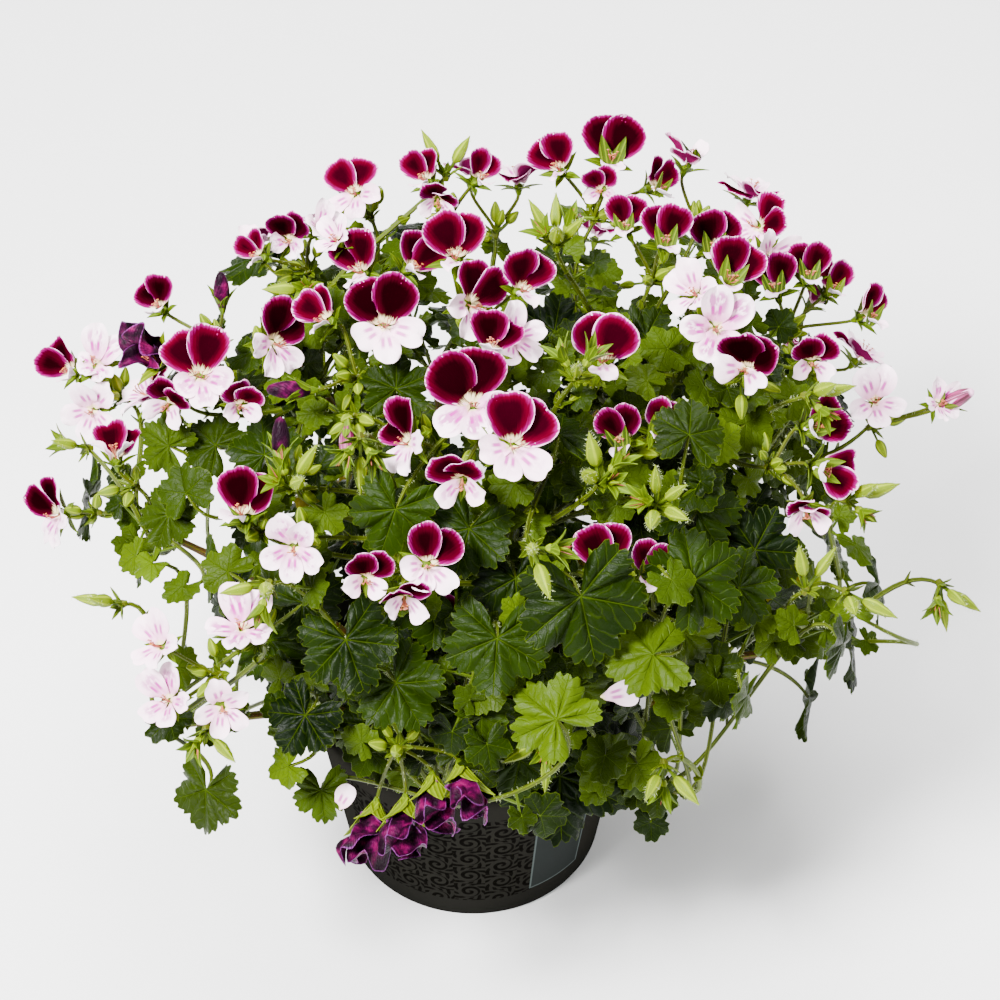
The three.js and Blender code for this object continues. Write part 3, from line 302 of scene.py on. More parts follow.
# How far the upper and the lower petals of each kind of flower stand open, in degrees from the
# flower's axis, and where its lower petals point, in degrees clockwise from the top
KINDS = {"open": (80, 74, (116, 180, 244)), "cup": (54, 42, (116, 244)), "pair": (58, 40, (180,)),
         "pale": (60, 66, (116, 180, 244)), "wilt": (24, 16, (116, 244))}

# Flower heads seen from the front: kind, place in the picture, turn to the right, tip up, roll
# clockwise and size of each flower. A head's first number lifts it off the crown.
FRONT_HEADS = [
    [0, ["open", 356, 194, -20, 12, -14, 0.82]],
    [0, ["cup", 288, 240, -12, -8, 12, 0.8], ["pair", 265, 258, -40, 10, -30, 0.6],
     ["pale", 322, 226, 40, 30, 40, 0.62]],
    [0, ["pair", 426, 180, -34, 20, -14, 0.7], ["cup", 438, 198, 0, -34, 10, 0.66],
     ["pair", 478, 180, 34, 24, 12, 0.66]],
    [0, ["pair", 360, 270, -24, 14, -12, 0.94], ["open", 384, 326, 4, 8, -6, 1.06],
     ["pair", 410, 268, 36, 18, 32, 0.8], ["pale", 342, 245, -40, 30, -20, 0.56]],
    [0, ["pair", 456, 258, -6, 18, 0, 1], ["open", 468, 304, 44, -8, 22, 0.92],
     ["pair", 520, 290, 26, 12, 8, 0.86], ["pale", 512, 338, 24, 6, -42, 0.82]],
    [0, ["pair", 161, 308, -26, 24, -20, 0.7], ["shut", 222, 300, 0, 60, 14, 0.9]],
    [0, ["open", 272, 342, 46, -6, 18, 0.92]],
    [0, ["pair", 328, 320, -46, 10, -26, 0.74], ["shut", 302, 390, -70, 0, 0, 1]],
    [0, ["pair", 68, 370, -40, 8, -46, 0.82], ["pale", 97, 368, -6, 24, 30, 0.9],
     ["pale", 92, 410, -10, -14, 16, 0.86]],
    [0, ["open", 200, 376, 4, 6, -10, 1.06], ["wilt", 152, 356, -40, 10, 0, 0.86],
     ["cup", 168, 404, -12, -28, 24, 0.76], ["cup", 240, 404, 16, -14, 0, 0.68]],
    [0, ["shut", 347, 434, 0, -64, 0, 0.8]], [0, ["cup", 116, 458, -8, 60, 0, 0.78]],
    [0, ["open", 60, 514, -56, -8, -22, 0.9]], [0, ["pair", 244, 516, -14, 34, 14, 0.94]],
    [0, ["shut", 281, 452, 0, 70, 0, 1]], [0, ["pale", 294, 546, -6, -18, 4, 0.86]],
    [0, ["open", 410, 442, -50, 0, -26, 0.86]],
    [4, ["open", 472, 404, 0, 4, -14, 1.14], ["open", 512, 446, 12, 4, 16, 1.06],
     ["cup", 462, 478, -8, -30, -8, 0.86], ["pair", 490, 352, 14, 40, 20, 0.8]],
    [0, ["pair", 602, 362, 4, 14, 4, 1.02]],
    [0, ["pair", 560, 170, -22, 16, -20, 0.84], ["pair", 610, 162, 8, 18, 6, 1.06],
     ["cup", 602, 190, -12, -10, 0, 0.6], ["pair", 651, 188, 58, 12, 18, 0.72]],
    [0, ["pair", 626, 226, -10, 20, 0, 0.7], ["pair", 662, 246, 12, 20, 0, 0.84],
     ["pair", 712, 248, 6, 10, 4, 0.84]],
    [0, ["open", 756, 226, -36, 10, 62, 0.86], ["pale", 764, 256, 34, -6, 84, 0.8]],
    [0, ["pair", 728, 280, 18, 16, 24, 0.96], ["pale", 700, 298, -34, 20, -34, 0.76],
     ["pale", 716, 328, 4, 0, 24, 1]],
    [0, ["pair", 776, 288, -12, 26, -8, 0.82], ["pair", 806, 282, 8, 28, 4, 0.8],
     ["pair", 832, 288, 30, 26, 14, 0.7], ["pair", 860, 318, 48, 14, 10, 0.78]],
    [0, ["cup", 746, 368, -14, -4, 26, 1]], [0, ["cup", 812, 362, 0, -16, 6, 0.74]],
    [0, ["pale", 874, 402, 4, 10, -6, 0.86], ["pale", 934, 406, 30, 14, 20, 0.6],
     ["shut", 950, 402, 64, 24, 0, 1]],
    [0, ["pair", 812, 426, 44, 4, 66, 0.84], ["pair", 814, 466, 44, -14, 96, 0.84],
     ["cup", 806, 510, 6, -40, -8, 0.76]],
    [-22, ["pair", 622, 440, -20, 10, -10, 0.78], ["pair", 652, 432, 20, 12, 20, 0.7]],
    [-20, ["pair", 606, 566, -8, 20, -8, 0.94], ["pair", 642, 576, 20, 10, 16, 0.74]],
    [0, ["cup", 366, 580, 6, -12, 10, 0.78], ["open", 426, 564, 8, -2, 18, 0.86],
     ["cup", 404, 600, 4, -44, 0, 0.8]], [0, ["pale", 243, 630, -4, 36, 6, 0.94]],
    [0, ["pale", 162, 646, -34, 20, -20, 0.78], ["pale", 170, 700, -24, 10, -16, 0.8],
     ["pale", 222, 706, 10, -20, 10, 0.76]],
]

# Heads round the back, by azimuth and height angle on the crown, with the sizes of their flowers
REAR_HEADS = [
    [30, 22, 0.9, 0.74], [44, 4, 0.84], [54, 38, 0.94, 0.8], [76, 16, 0.9], [92, 40, 0.92, 0.76],
    [112, 14, 0.86], [132, 32, 0.92, 0.78], [150, 8, 0.84], [166, 24, 0.9],
]

# The drooping head over the front of the pot: place of its hub, then of each faded flower
DROOPING = {"hub": [398, 748], "depth": -34,
            "flowers": [[372, 826], [404, 822], [434, 800], [464, 788]]}

# Green umbels: place in the picture, lift, where their buds point (turn, tip), number of buds
UMBELS = [
    [556, 246, 0, 0, 50, 6], [600, 482, 0, 10, 30, 4], [656, 506, 2, 6, 10, 5],
    [532, 548, 4, 30, -20, 3], [548, 738, -44, -40, -50, 3], [664, 764, -30, 10, -70, 3],
    [806, 590, -8, 40, 50, 2], [846, 592, 0, 40, -50, 2], [940, 584, 0, 50, -60, 4],
    [122, 604, 0, -60, -10, 2], [268, 584, 0, -30, -30, 3], [806, 396, 2, 60, -6, 3],
    [312, 290, 0, -40, -20, 3], [88, 448, 0, -70, -10, 2], [360, 438, 0, 0, -70, 3],
    [446, 176, 0, 10, 60, 2], [576, 380, -4, 0, 50, 3], [846, 500, 0, 60, 0, 3],
    [206, 730, -8, 10, -60, 2], [290, 488, 0, 0, 40, 4],
]

# Leaves seen from the front: place, width, lift, turn, tip up, and the way the midrib points,
# in degrees clockwise from the top of the picture
FRONT_LEAVES = [
    [350, 652, 42, -8, -6, 10, 160], [402, 694, 40, -22, 0, 6, 150],
    [496, 652, 44, -14, 0, 4, 184], [584, 612, 54, -6, 6, 8, 166],
    [642, 656, 38, -2, -10, 14, -100], [548, 712, 38, -4, -6, 16, -50],
    [560, 792, 56, -62, 6, -6, 178], [466, 540, 38, -14, -8, 6, 196],
    [516, 590, 38, -12, 4, -4, 176], [690, 426, 32, 0, 10, 20, 10], [728, 444, 20, -4, 30, 0, 120],
    [704, 574, 44, -8, 16, 8, 60], [748, 586, 34, -18, 20, 6, 80],
    [166, 522, 28, -6, -20, 10, 200], [184, 486, 26, -14, -14, 12, -20],
    [205, 800, 36, 0, -34, 0, 190], [300, 724, 34, -18, -16, 10, 210],
    [322, 798, 28, -36, -10, -6, 176], [284, 768, 20, -26, -30, 0, 250],
    [380, 716, 34, -44, -4, 14, 40], [602, 776, 22, -40, 20, 0, 160],
    [744, 704, 28, -10, 70, -14, 186], [840, 652, 30, 0, 70, -14, 190],
    [850, 606, 20, -6, 16, 10, 0], [760, 540, 38, -26, 10, 4, 30], [530, 516, 22, -6, 0, 10, 20],
    [518, 770, 34, -50, 6, -4, 190], [162, 442, 28, -10, -20, 16, -60],
    [676, 586, 22, 0, 24, 0, 150], [148, 566, 18, -4, -30, 10, 230],
    [178, 590, 18, -4, -20, 0, 220], [556, 322, 34, -30, 0, 16, 10],
    [264, 446, 34, -30, -10, 20, -10], [392, 520, 38, -12, -6, 10, 200],
    [348, 508, 34, -16, -10, 10, 170], [436, 612, 40, -34, 0, 6, 186],
    [276, 650, 40, -14, -14, 12, 150], [312, 598, 34, -24, -8, 10, 60],
    [470, 716, 40, -48, 0, 6, 170], [640, 770, 24, -34, 20, -10, 150],
    [790, 560, 26, -10, 20, 10, 110], [700, 500, 40, -26, 10, 10, 20],
    [222, 568, 24, -4, -12, 12, -60], [650, 330, 32, -34, 10, 20, 30],
    [752, 420, 26, -34, 14, 20, 60], [210, 440, 30, -26, -14, 20, -50],
    [396, 380, 32, -24, 0, 20, 0], [560, 430, 36, -26, 4, 20, 10], [640, 520, 36, -30, 4, 10, 180],
    [690, 640, 30, -16, 16, 0, 140],
]

# Leaves behind and inside, on a spiral over the crown
REAR_LEAVES = 26
INNER_LEAVES = 22
SPIRAL_STEP = 137.508
GOLDEN = 0.618034

# %% [markdown]
# ## Room for each piece
# Branches of a real plant grow round each other. Here each piece is a chain of balls, and a new
# piece only takes a place where its balls touch none of the others. Balls are quick to test, and
# they are the same balls that kept the solids apart.

# %% Balls that keep pieces apart
POT_HEIGHT = 108
POT_TOP_RADIUS = 76
POT_BASE_RADIUS = 61
POT_WALL = 1.8
POT_FLOOR = 2.4
LIP_HEIGHT = 9
LIP_REACH = 3
SOIL_LEVEL = 97
SOIL_CROWN = 3
STALK_MARGIN = 1.3
BALL_STEP = 4
placed = []
placed_boxes = np.zeros((0, 2, 3))


def ball(at, r):
    return (*at, r)


def box_of(chain):
    return (chain[:, :3] - chain[:, 3:]).min(axis=0), (chain[:, :3] + chain[:, 3:]).max(axis=0)


def place(owner, balls):
    global placed_boxes
    chain = np.array(balls, dtype=float)
    placed.append((owner, chain))
    placed_boxes = np.concatenate([placed_boxes, [box_of(chain)]])


def hits_pot(x, y, z, r):
    if z < r + 1:
        return True
    away = math.hypot(x, y)
    in_soil = z < SOIL_LEVEL + SOIL_CROWN + r
    beyond_wall = away > POT_TOP_RADIUS + LIP_REACH + 1 + r
    inside_wall = away < POT_TOP_RADIUS - POT_WALL - 2 - r
    return z < POT_HEIGHT + 1 + r and not beyond_wall and (in_soil or not inside_wall)


def is_clear(owners, balls):
    if any(hits_pot(*one) for one in balls):
        return False
    if not balls:
        return True
    chain = np.array(balls, dtype=float)
    low, high = box_of(chain)
    near = ((placed_boxes[:, 0] <= high) & (placed_boxes[:, 1] >= low)).all(axis=1)
    for owner, other in (placed[index] for index in np.nonzero(near)[0]):
        if owner in owners:
            continue
        gap = chain[:, None, :3] - other[None, :, :3]
        reach = chain[:, None, 3] + other[None, :, 3]
        if ((gap * gap).sum(axis=2) < reach * reach).any():
            return False
    return True


def balls_along(points, radius, skip_start=0, skip_end=0):
    balls = []
    first, last = points[0], points[-1]
    for start, end in zip(points[:-1], points[1:]):
        count = math.ceil(size(end - start) / BALL_STEP)
        for j in range(count):
            at = start + (end - start) * ((j + 0.5) / count)
            if size(at - first) > skip_start and size(at - last) > skip_end:
                balls.append(ball(at, radius + STALK_MARGIN))
    return balls


# %% [markdown]
# ## Main stems and the way of a stalk
# Each main stem leaves the soil upright and then leans outwards, as a stem does that reaches for
# light. A stalk could start anywhere. The shortest clear way from any stem looks most natural,
# so all ways are sorted by length and bend, and the first clear one is kept.

# %% Main stems
STEM_BASE_RADIUS = 3.1
STEM_TIP_RADIUS = 1.5
STEM_SINK = 10
STEM_STEPS = 5

stems = []
for index, (foot_azimuth, foot_out, lean_azimuth, reach, height) in enumerate(STEMS):
    foot = np.array((foot_out * cosine(foot_azimuth), foot_out * sine(foot_azimuth), SOIL_LEVEL))
    tip = np.array((reach * cosine(lean_azimuth), reach * sine(lean_azimuth), height))
    rise = height - SOIL_LEVEL
    low = foot + (0, 0, 0.4 * rise)
    high = blend(foot, tip, 0.62) + (0, 0, 0.12 * rise)
    name = f"leafy_stem_{index + 1:02d}"
    bends = (foot, low, high, tip)
    points = curve(bends, STEM_STEPS)
    place(name, balls_along(points, STEM_BASE_RADIUS - 0.6, 6))
    stems.append({"name": name, "points": points, "pieces": [], "bends": bends})
print("main stems:", len(stems))

# %% The way of a stalk
STALK_RADIUS = 1.05
STALK_STEPS = 3
PETIOLE_RADIUS = 0.95
PETIOLE_STEPS = 2
JOINTS = [1.4, 2.4, 3.4, 4.4, 4.9]
BOWS = [0, 14, -14, 26, -26, 40, -40]
SHORT_STALK = 36


def grow_stalk(end, arrive, radius, steps, form, skip_end=0, target=None, balls=()):
    """Lead a stalk to its end from the nearest stem that has a clear way, and note it there."""
    tries = []
    for stem in stems:
        for joint in JOINTS:
            below, above = stem["points"][math.floor(joint)], stem["points"][math.ceil(joint)]
            start = blend(below, above, joint % 1)
            along = unit(above - below)
            span = end - start
            length = size(span)
            bend = 1 - dot(unit(span), along)
            turn = 1 - dot(unit(span), arrive)
            way = length * (1 + 0.35 * bend + 0.2 * turn)
            for bow in BOWS:
                cost = way + abs(bow) + 3 * len(stem["pieces"])
                tries.append((cost, stem, start, along, length, span, bow))
    tries.sort(key=lambda one: one[0])
    for _, stem, start, along, length, span, bow in tries:
        aside = unit(cross(span, (0, 0, 1)) + (0.001, 0, 0)) * bow
        bends = (start, start + along * (0.3 * length) + aside,
                 end + arrive * (-0.34 * length) + aside, end)
        points = curve(bends, steps - 1 if length < SHORT_STALK else steps)
        if (length > 8 and is_clear([], balls_along(points, radius, 8, skip_end))
                and is_clear([stem["name"], target], balls_along(points, radius))):
            place(stem["name"], balls_along(points, radius))
            stem["pieces"].append({"bends": bends, **form})
            if len(balls):
                place(stem["name"], balls)
            return stem
    return None


# %% [markdown]
# ## Flowers and their heads
# An angel pelargonium flower has two broad upper petals and three narrow lower ones. Flowers stand
# in loose umbels, on pedicels from one hub. The whole head is settled at once, because its
# flowers share a stalk.

# %% Petals and heads of the plan
UPPER_PETAL = 17.5
UPPER_HALF = 7.6
LOWER_PETAL = 15.5
LOWER_HALF = 4.6
HUB_RADIUS = 2.1
CALYX_LENGTH = 6
BUD_LENGTH = 15
BUD_RADIUS = 3
STATIONS = [0, 0.6, 1]
OPENING = [0.84, 1.12]
PETAL_BALL = 2.7
PETAL_BALLS = [[0, 0.5, 0.5], [0, 0.95, 0.8], [1, 0.5, 0.6], [1, 0.9, 0.3]]


def petals_of(flower):
    upper, lower, lower_angles = KINDS[flower["kind"]]
    scale = flower["scale"]
    return ([{"angle": angle, "open": upper, "length": UPPER_PETAL * scale,
              "wide": UPPER_HALF * scale} for angle in (38, -38)]
            + [{"angle": angle, "open": lower, "length": LOWER_PETAL * scale,
                "wide": LOWER_HALF * scale} for angle in lower_angles])


def petal_line(flower, petal):
    n, u, r = flower["frame"]
    out = r * sine(petal["angle"]) + u * cosine(petal["angle"])
    across = r * cosine(petal["angle"]) + u * -sine(petal["angle"])
    points = [flower["at"] + out * HUB_RADIUS]
    for k, share in enumerate(OPENING):
        opening = petal["open"] * share
        step = petal["length"] * (STATIONS[k + 1] - STATIONS[k])
        points.append(points[k] + (out * sine(opening) + n * cosine(opening)) * step)
    return points, across


def flower_balls(flower):
    at, n = flower["at"], flower["frame"][0]
    if flower["kind"] == "shut":
        tip = at + n * (BUD_LENGTH * flower["scale"])
        return balls_along([at - n * CALYX_LENGTH, tip], BUD_RADIUS)
    balls = [ball(at, HUB_RADIUS + 1)]
    for petal in petals_of(flower):
        points, across = petal_line(flower, petal)
        for start, part, wide in PETAL_BALLS:
            middle = blend(points[start], points[start + 1], part)
            balls += [ball(middle + across * (side * wide * petal["wide"]), PETAL_BALL)
                      for side in (-1, 0, 1)]
    return balls


# %% Settle the heads
PEDICEL_REACH = 11
PEDICEL_SPREAD = 0.55
LIFTS = [0, 5, -5, 10, -10, 15, -15, 20, -20, 26, -26, 32]
HEAD_DEPTH = 9
REAR_SPREAD = 11
GAP = 0.35
heads = []


def calyx_end(flower):
    return flower["at"] - flower["frame"][0] * CALYX_LENGTH


def make_head(flowers):
    ends = [calyx_end(flower) for flower in flowers]
    middle = sum(ends) * (1 / len(ends))
    face = unit(sum(flower["frame"][0] for flower in flowers))
    away = unit(outward(middle) * 0.6 + face * 0.4)
    spread = max(size(end - middle) for end in ends)
    return {"flowers": flowers, "hub": middle - away * (PEDICEL_REACH + PEDICEL_SPREAD * spread),
            "away": away}


def keep_head(head, always=False):
    """Keep a head if it is clear of the others."""
    balls = [ball(head["hub"], HUB_RADIUS + 1)]
    for flower in head["flowers"]:
        balls += balls_along([head["hub"], calyx_end(flower)], STALK_RADIUS)
        balls += flower_balls(flower)
    if not always and not is_clear([], balls):
        return False
    head["name"] = f"head_{len(heads) + 1:02d}"
    place(head["name"], balls)
    heads.append(head)
    return True


def settle_head(flowers_at):
    for lift in LIFTS:
        if keep_head(make_head(flowers_at(lift))):
            return


def front_flowers(lift, rows):
    depth = depth_of(on_crown(sum(row[1] for row in rows) / len(rows),
                              sum(row[2] for row in rows) / len(rows), lift))
    flowers = []
    for kind, px, py, turn, tip, roll, scale in rows:
        own = depth_of(on_crown(px, py, lift))
        kept = min(max(own, depth - HEAD_DEPTH), depth + HEAD_DEPTH)
        flowers.append({"kind": kind, "scale": scale, "at": EYE + sight_of(px, py) * kept,
                        "frame": facing(turn, tip, roll)})
    return flowers


def rear_flowers(extra, azimuth, height, scales):
    flowers = []
    for index, scale in enumerate(scales):
        aside = REAR_SPREAD * (index * 2 - 1) if len(scales) > 1 else 0
        at = crown_point(azimuth + aside * 0.4, height + aside * 0.3, extra - 4)
        away = unit(outward(at) + (0, 0, 0.5) + SIDEWAYS * (0.01 * aside))
        flowers.append({"kind": "pair" if index else "open", "scale": scale, "at": at,
                        "frame": frame_of(away, (0, 0, 1), aside)})
    return flowers


for lift, *rows in FRONT_HEADS:
    settle_head(lambda extra: front_flowers(lift + extra, rows))
for azimuth, height, *scales in REAR_HEADS:
    settle_head(lambda extra: rear_flowers(extra, azimuth, height, scales))
keep_head({
    "hub": on_crown(*DROOPING["hub"], DROOPING["depth"]), "away": unit(TO_EYE + (0, 0, 0.6)),
    "flowers": [{"kind": "wilt", "scale": 1.06 - 0.06 * index,
                 "at": on_crown(px, py, DROOPING["depth"] + 4),
                 "frame": facing(-16 + 12 * index, -58, 0)}
                for index, (px, py) in enumerate(DROOPING["flowers"])]}, always=True)
print("heads:", len(heads), "flowers:", sum(len(head["flowers"]) for head in heads))

for head in sorted(heads, key=lambda one: -size(one["hub"])):
    grow_stalk(head["hub"] - head["away"] * (HUB_RADIUS + GAP), head["away"], STALK_RADIUS,
               STALK_STEPS, {"form": "stalk"}, HUB_RADIUS + 4, head["name"])

# %% [markdown]
# ## Leaves and green umbels
# Leaves fill what the flowers leave free, the large ones first, because they are the hardest to
# seat. Behind the plant, where the picture shows nothing, leaves sit on a spiral of the golden
# angle, which is how a plant spaces them so that no leaf shades the next.

# %% Outline and places of a leaf
LOBES = [-128, -64, 0, 64, 128]
PLAIN = [-132, -86, -43, 0, 43, 86, 132]
SMALL_LEAF = 41
LEAF_HALF = 0.52
LEAF_FOOT = 0.24
LEAF_BALL = 2.7
LEAF_LIFTS = [0, -7, 7, -14, 12, -21, -28, 18, -36, -44]
LEAF_TILTS = [0, 22, -22, 40]
PETIOLE_SEAT = 1


def leaf_outline(leaf):
    if leaf["plain"]:
        return [(angle, 1, 0.05) if index % 2 else (angle, 0.9, -0.08)
                for index, angle in enumerate(PLAIN)]
    outline = []
    for index, middle in enumerate(LOBES):
        reach = 1 - 0.05 * abs(index - 2)
        asides = (-17, 0, 17) if leaf["width"] > SMALL_LEAF else (0,)
        outline += [(middle + aside, reach * (0.9 if aside else 1), 0.06) for aside in asides]
        if index < len(LOBES) - 1:
            outline.append((middle + 32, 0.7, -0.1))
    return outline


def leaf_foot(leaf):
    return leaf["at"] - leaf["frame"][1] * (leaf["width"] * LEAF_HALF * LEAF_FOOT)


def leaf_balls(leaf):
    n, u, r = leaf["frame"]
    half = leaf["width"] * LEAF_HALF
    foot = leaf_foot(leaf)
    edge = []
    for angle, reach, rise in leaf_outline(leaf):
        lift = rise - 0.2 * reach * leaf["droop"] if rise > 0 else rise
        edge.append(foot + u * (cosine(angle) * reach * half) + r * (sine(angle) * reach * half)
                    + n * (lift * half))
    balls = [ball(foot, LEAF_BALL)]
    for index, point in enumerate(edge):
        beyond = edge[min(index + 1, len(edge) - 1)]
        for part in ([0.55, 0.86] if index % 2 else [0.38, 0.7, 0.97]):
            balls.append(ball(blend(foot, point, part), LEAF_BALL))
        balls.append(ball(blend(foot, blend(point, beyond, 0.5), 0.93), LEAF_BALL))
    return balls


def settle_leaf(leaf_at):
    for lift in LEAF_LIFTS:
        for tilt in LEAF_TILTS:
            leaf = leaf_at(lift, tilt)
            balls = leaf_balls(leaf)
            if is_clear([], balls):
                n, u, _ = leaf["frame"]
                if grow_stalk(leaf_foot(leaf) - n * PETIOLE_SEAT, unit(n * 0.6 + u * 0.8),
                              PETIOLE_RADIUS, PETIOLE_STEPS, {"form": "leaf", "leaf": leaf},
                              balls=balls):
                    return


def settle_front_leaves(rows):
    for px, py, width, lift, turn, tip, roll in rows:
        droop = chance.between(0.2, 1.2)
        settle_leaf(lambda extra, tilt: {
            "at": on_crown(px, py, lift + extra), "width": width, "droop": droop, "plain": False,
            "frame": facing(turn, tip + tilt, roll)})


by_width = sorted(FRONT_LEAVES, key=lambda row: -row[2])
settle_front_leaves([row for row in by_width if row[2] > SMALL_LEAF])

# %% Settle the green umbels
BUD_SPREAD = 0.7


def umbel_buds(frame, count):
    n, u, r = frame
    buds = []
    for k in range(count):
        angle = 360 * (k / max(3, count)) + 30
        way = unit(n + r * (BUD_SPREAD * cosine(angle)) + u * (BUD_SPREAD * sine(angle)))
        buds.append((way, chance.between(1.3, 1.6) * BUD_LENGTH))
    return buds


for px, py, lift, turn, tip, count in UMBELS:
    n = facing(turn, tip, 0)[0]
    held = chance.seed
    for extra in LIFTS:
        chance.seed = held
        hub = on_crown(px, py, lift + extra)
        buds = umbel_buds(facing(turn, tip, 0), count)
        balls = []
        for way, length in buds:
            balls += balls_along([hub, hub + way * length], BUD_RADIUS - 0.6)
        if is_clear([], balls):
            stem = grow_stalk(hub, unit(outward(hub) * 0.7 + n * 0.5), STALK_RADIUS, STALK_STEPS,
                              {"form": "stalk"}, balls=balls)
            if stem:
                stem["pieces"].append({"form": "umbel", "hub": hub, "way": n, "buds": buds})
                break

# %% Settle the small leaves, then those behind and inside
settle_front_leaves([row for row in by_width if row[2] <= SMALL_LEAF])


def settle_spiral_leaf(azimuth, height, depth, width):
    droop = chance.between(0.4, 1.6)
    roll = chance.between(150, 210)

    def leaf_at(extra, tilt):
        at = crown_point(azimuth, height, extra + depth)
        away = unit(outward(at) + (0, 0, 0.5 + tilt * 0.02))
        return {"at": at, "width": width, "droop": droop, "plain": True,
                "frame": frame_of(away, (0, 0, 1), roll)}

    settle_leaf(leaf_at)


for k in range(REAR_LEAVES):
    height = -34 + 74 * ((k * GOLDEN) % 1)
    settle_spiral_leaf(((k * SPIRAL_STEP) % 196) - 8, height, -20, chance.between(36, 50))
for k in range(INNER_LEAVES):
    height = 4 + 64 * ((k * GOLDEN) % 1)
    settle_spiral_leaf(-172 + ((k * SPIRAL_STEP) % 164), height, -58, chance.between(30, 40))
seats = [part["leaf"] for stem in stems for part in stem["pieces"] if part["form"] == "leaf"]
print("leaves:", len(seats))

# %% [markdown]
# ## Thin sheets and tubes
# A petal or a leaf is a thin skin that curves two ways. Sculpting could make one, but there are
# hundreds. So a flat pattern is cut once, as a grid of points, and each copy is bent with its own
# numbers. A sheet has a face, a back and a rim, because a real petal looks different from behind.

# %% A piece that is gathered part by part
SHARP_ANGLE = 58
FINISHES = {}


class Piece:
    """Faces of one piece. Each point carries a spot on its pattern and a look."""

    def __init__(self, materials):
        self.materials = materials
        self.points, self.faces, self.spots, self.looks = [], [], [], []
        self.count = 0

    def put(self, points, faces, finish, spots, look):
        for patch in faces:
            self.faces.append((patch + self.count, self.materials.index(finish)))
        self.points.append(points)
        self.spots.append(np.broadcast_to(spots, points.shape))
        self.looks.append(np.broadcast_to(look, points.shape))
        self.count += len(points)

    def build(self, name):
        mesh = bpy.data.meshes.new(name)
        corners = np.concatenate([faces.ravel() for faces, _ in self.faces])
        sides = np.concatenate([np.full(len(faces), faces.shape[1]) for faces, _ in self.faces])
        finish = np.concatenate([np.full(len(faces), index) for faces, index in self.faces])
        mesh.vertices.add(self.count)
        mesh.vertices.foreach_set("co", (np.concatenate(self.points) * MM).ravel())
        mesh.loops.add(len(corners))
        mesh.loops.foreach_set("vertex_index", corners.astype(np.int32))
        mesh.polygons.add(len(sides))
        mesh.polygons.foreach_set("loop_start", (np.cumsum(sides) - sides).astype(np.int32))
        mesh.polygons.foreach_set("material_index", finish.astype(np.int32))
        mesh.update(calc_edges=True)
        for title, rows in (("spot", self.spots), ("look", self.looks)):
            values = mesh.attributes.new(title, "FLOAT_VECTOR", "POINT").data
            values.foreach_set("vector", np.concatenate(rows).astype(np.float32).ravel())
        for material in self.materials:
            mesh.materials.append(FINISHES[material])
        mesh.shade_smooth()
        mesh.set_sharp_from_angle(angle=rad(SHARP_ANGLE))
        thing = bpy.data.objects.new(name, mesh)
        bpy.context.scene.collection.objects.link(thing)
        return thing


def finish_piece(thing, node, slot):
    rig.replaces(thing, node)
    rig.ride(thing, "root")
    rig.slot(thing, slot)


# %% Grids, sheets and tubes
fine = np.random.default_rng(7)
draw = fine.uniform


def quads(left, right, wide, rows):
    """Rows of four-sided faces, wide points apart, from left and right in the first row."""
    k = np.arange(rows)[:, None] * wide
    faces = [k + left, k + right, k + wide + right, k + wide + left]
    return np.stack(faces, axis=-1).reshape(-1, 4)


def grid_faces(columns, rows):
    return quads(np.arange(columns), np.arange(columns) + 1, columns + 1, rows)


def grid_rim(columns, rows):
    wide = columns + 1
    return np.concatenate([np.arange(columns), np.arange(rows) * wide + columns,
                           rows * wide + np.arange(columns, 0, -1), np.arange(rows, 0, -1) * wide])


def put_sheet(piece, points, normals, faces, rim, thick, finish, spots, look):
    """Face, back and rim of a thin sheet. The look's second number is 1 on the face, 0 behind."""
    count = len(points)
    after = np.roll(rim, -1)
    half = normals * thick / 2
    backs = [patch[:, ::-1] + count for patch in faces]
    edge = np.stack([rim, rim + count, after + count, after], axis=1)
    tone, third = look
    looks = np.full((2 * count, 3), (tone, 1.0, third))
    looks[count:, 1] = 0
    piece.put(np.concatenate([points + half, points - half]), [*faces, *backs, edge], finish,
              np.concatenate([spots, spots]), looks)


def tube_faces(count, sides):
    """Walls between count rings, and fans to the two end points that follow them."""
    ring = np.arange(sides)
    after = np.roll(ring, -1)
    ends = count * sides
    last = ends - sides
    foot = np.stack([ring, np.full(sides, ends), after], axis=1)
    cap = np.stack([last + ring, last + after, np.full(sides, ends + 1)], axis=1)
    return [quads(ring, after, sides, count - 1), foot, cap]


def put_tube(piece, line, radii, sides, finish, tone, third=0):
    """A round tube along a line. Its spot holds the turn round it and the way along it."""
    line = np.asarray(line, dtype=float)
    count = len(line)
    radii = np.broadcast_to(np.asarray(radii, dtype=float), (count,))
    ways = np.gradient(line, axis=0)
    ways /= sizes(ways)[:, None] + 1e-9
    side = cross(ways[0], (0.3, 0.5, 0.81))
    rings = []
    angles = np.linspace(0, TURN, sides, endpoint=False)[:, None]
    for at, way, radius in zip(line, ways, radii):
        side = unit(side - way * (side @ way))
        rings.append(at + radius * (np.cos(angles) * side + np.sin(angles) * cross(way, side)))
    tip = line[-1] + ways[-1] * (radii[-1] * 0.6)
    spots = np.zeros((count * sides + 2, 3))
    spots[:-2, 0] = np.tile(np.arange(sides) / sides, count)
    spots[:-2, 1] = np.repeat(np.linspace(0, 1, count), sides)
    spots[-1, 1] = 1
    spots[:, 2] = radii.mean()
    piece.put(np.vstack([*rings, line[0], tip]), tube_faces(count, sides), finish, spots,
              (tone, 1, third))


# %% [markdown]
# ## Petals
# A petal is narrow where it leaves the calyx and round at the end. A square grid squeezed into a
# disc gives a round outline with no pole in the middle. The disc is then narrowed towards its
# foot. Each point remembers how far it is from the rim, because the colour of the petal runs in
# bands along its rim.

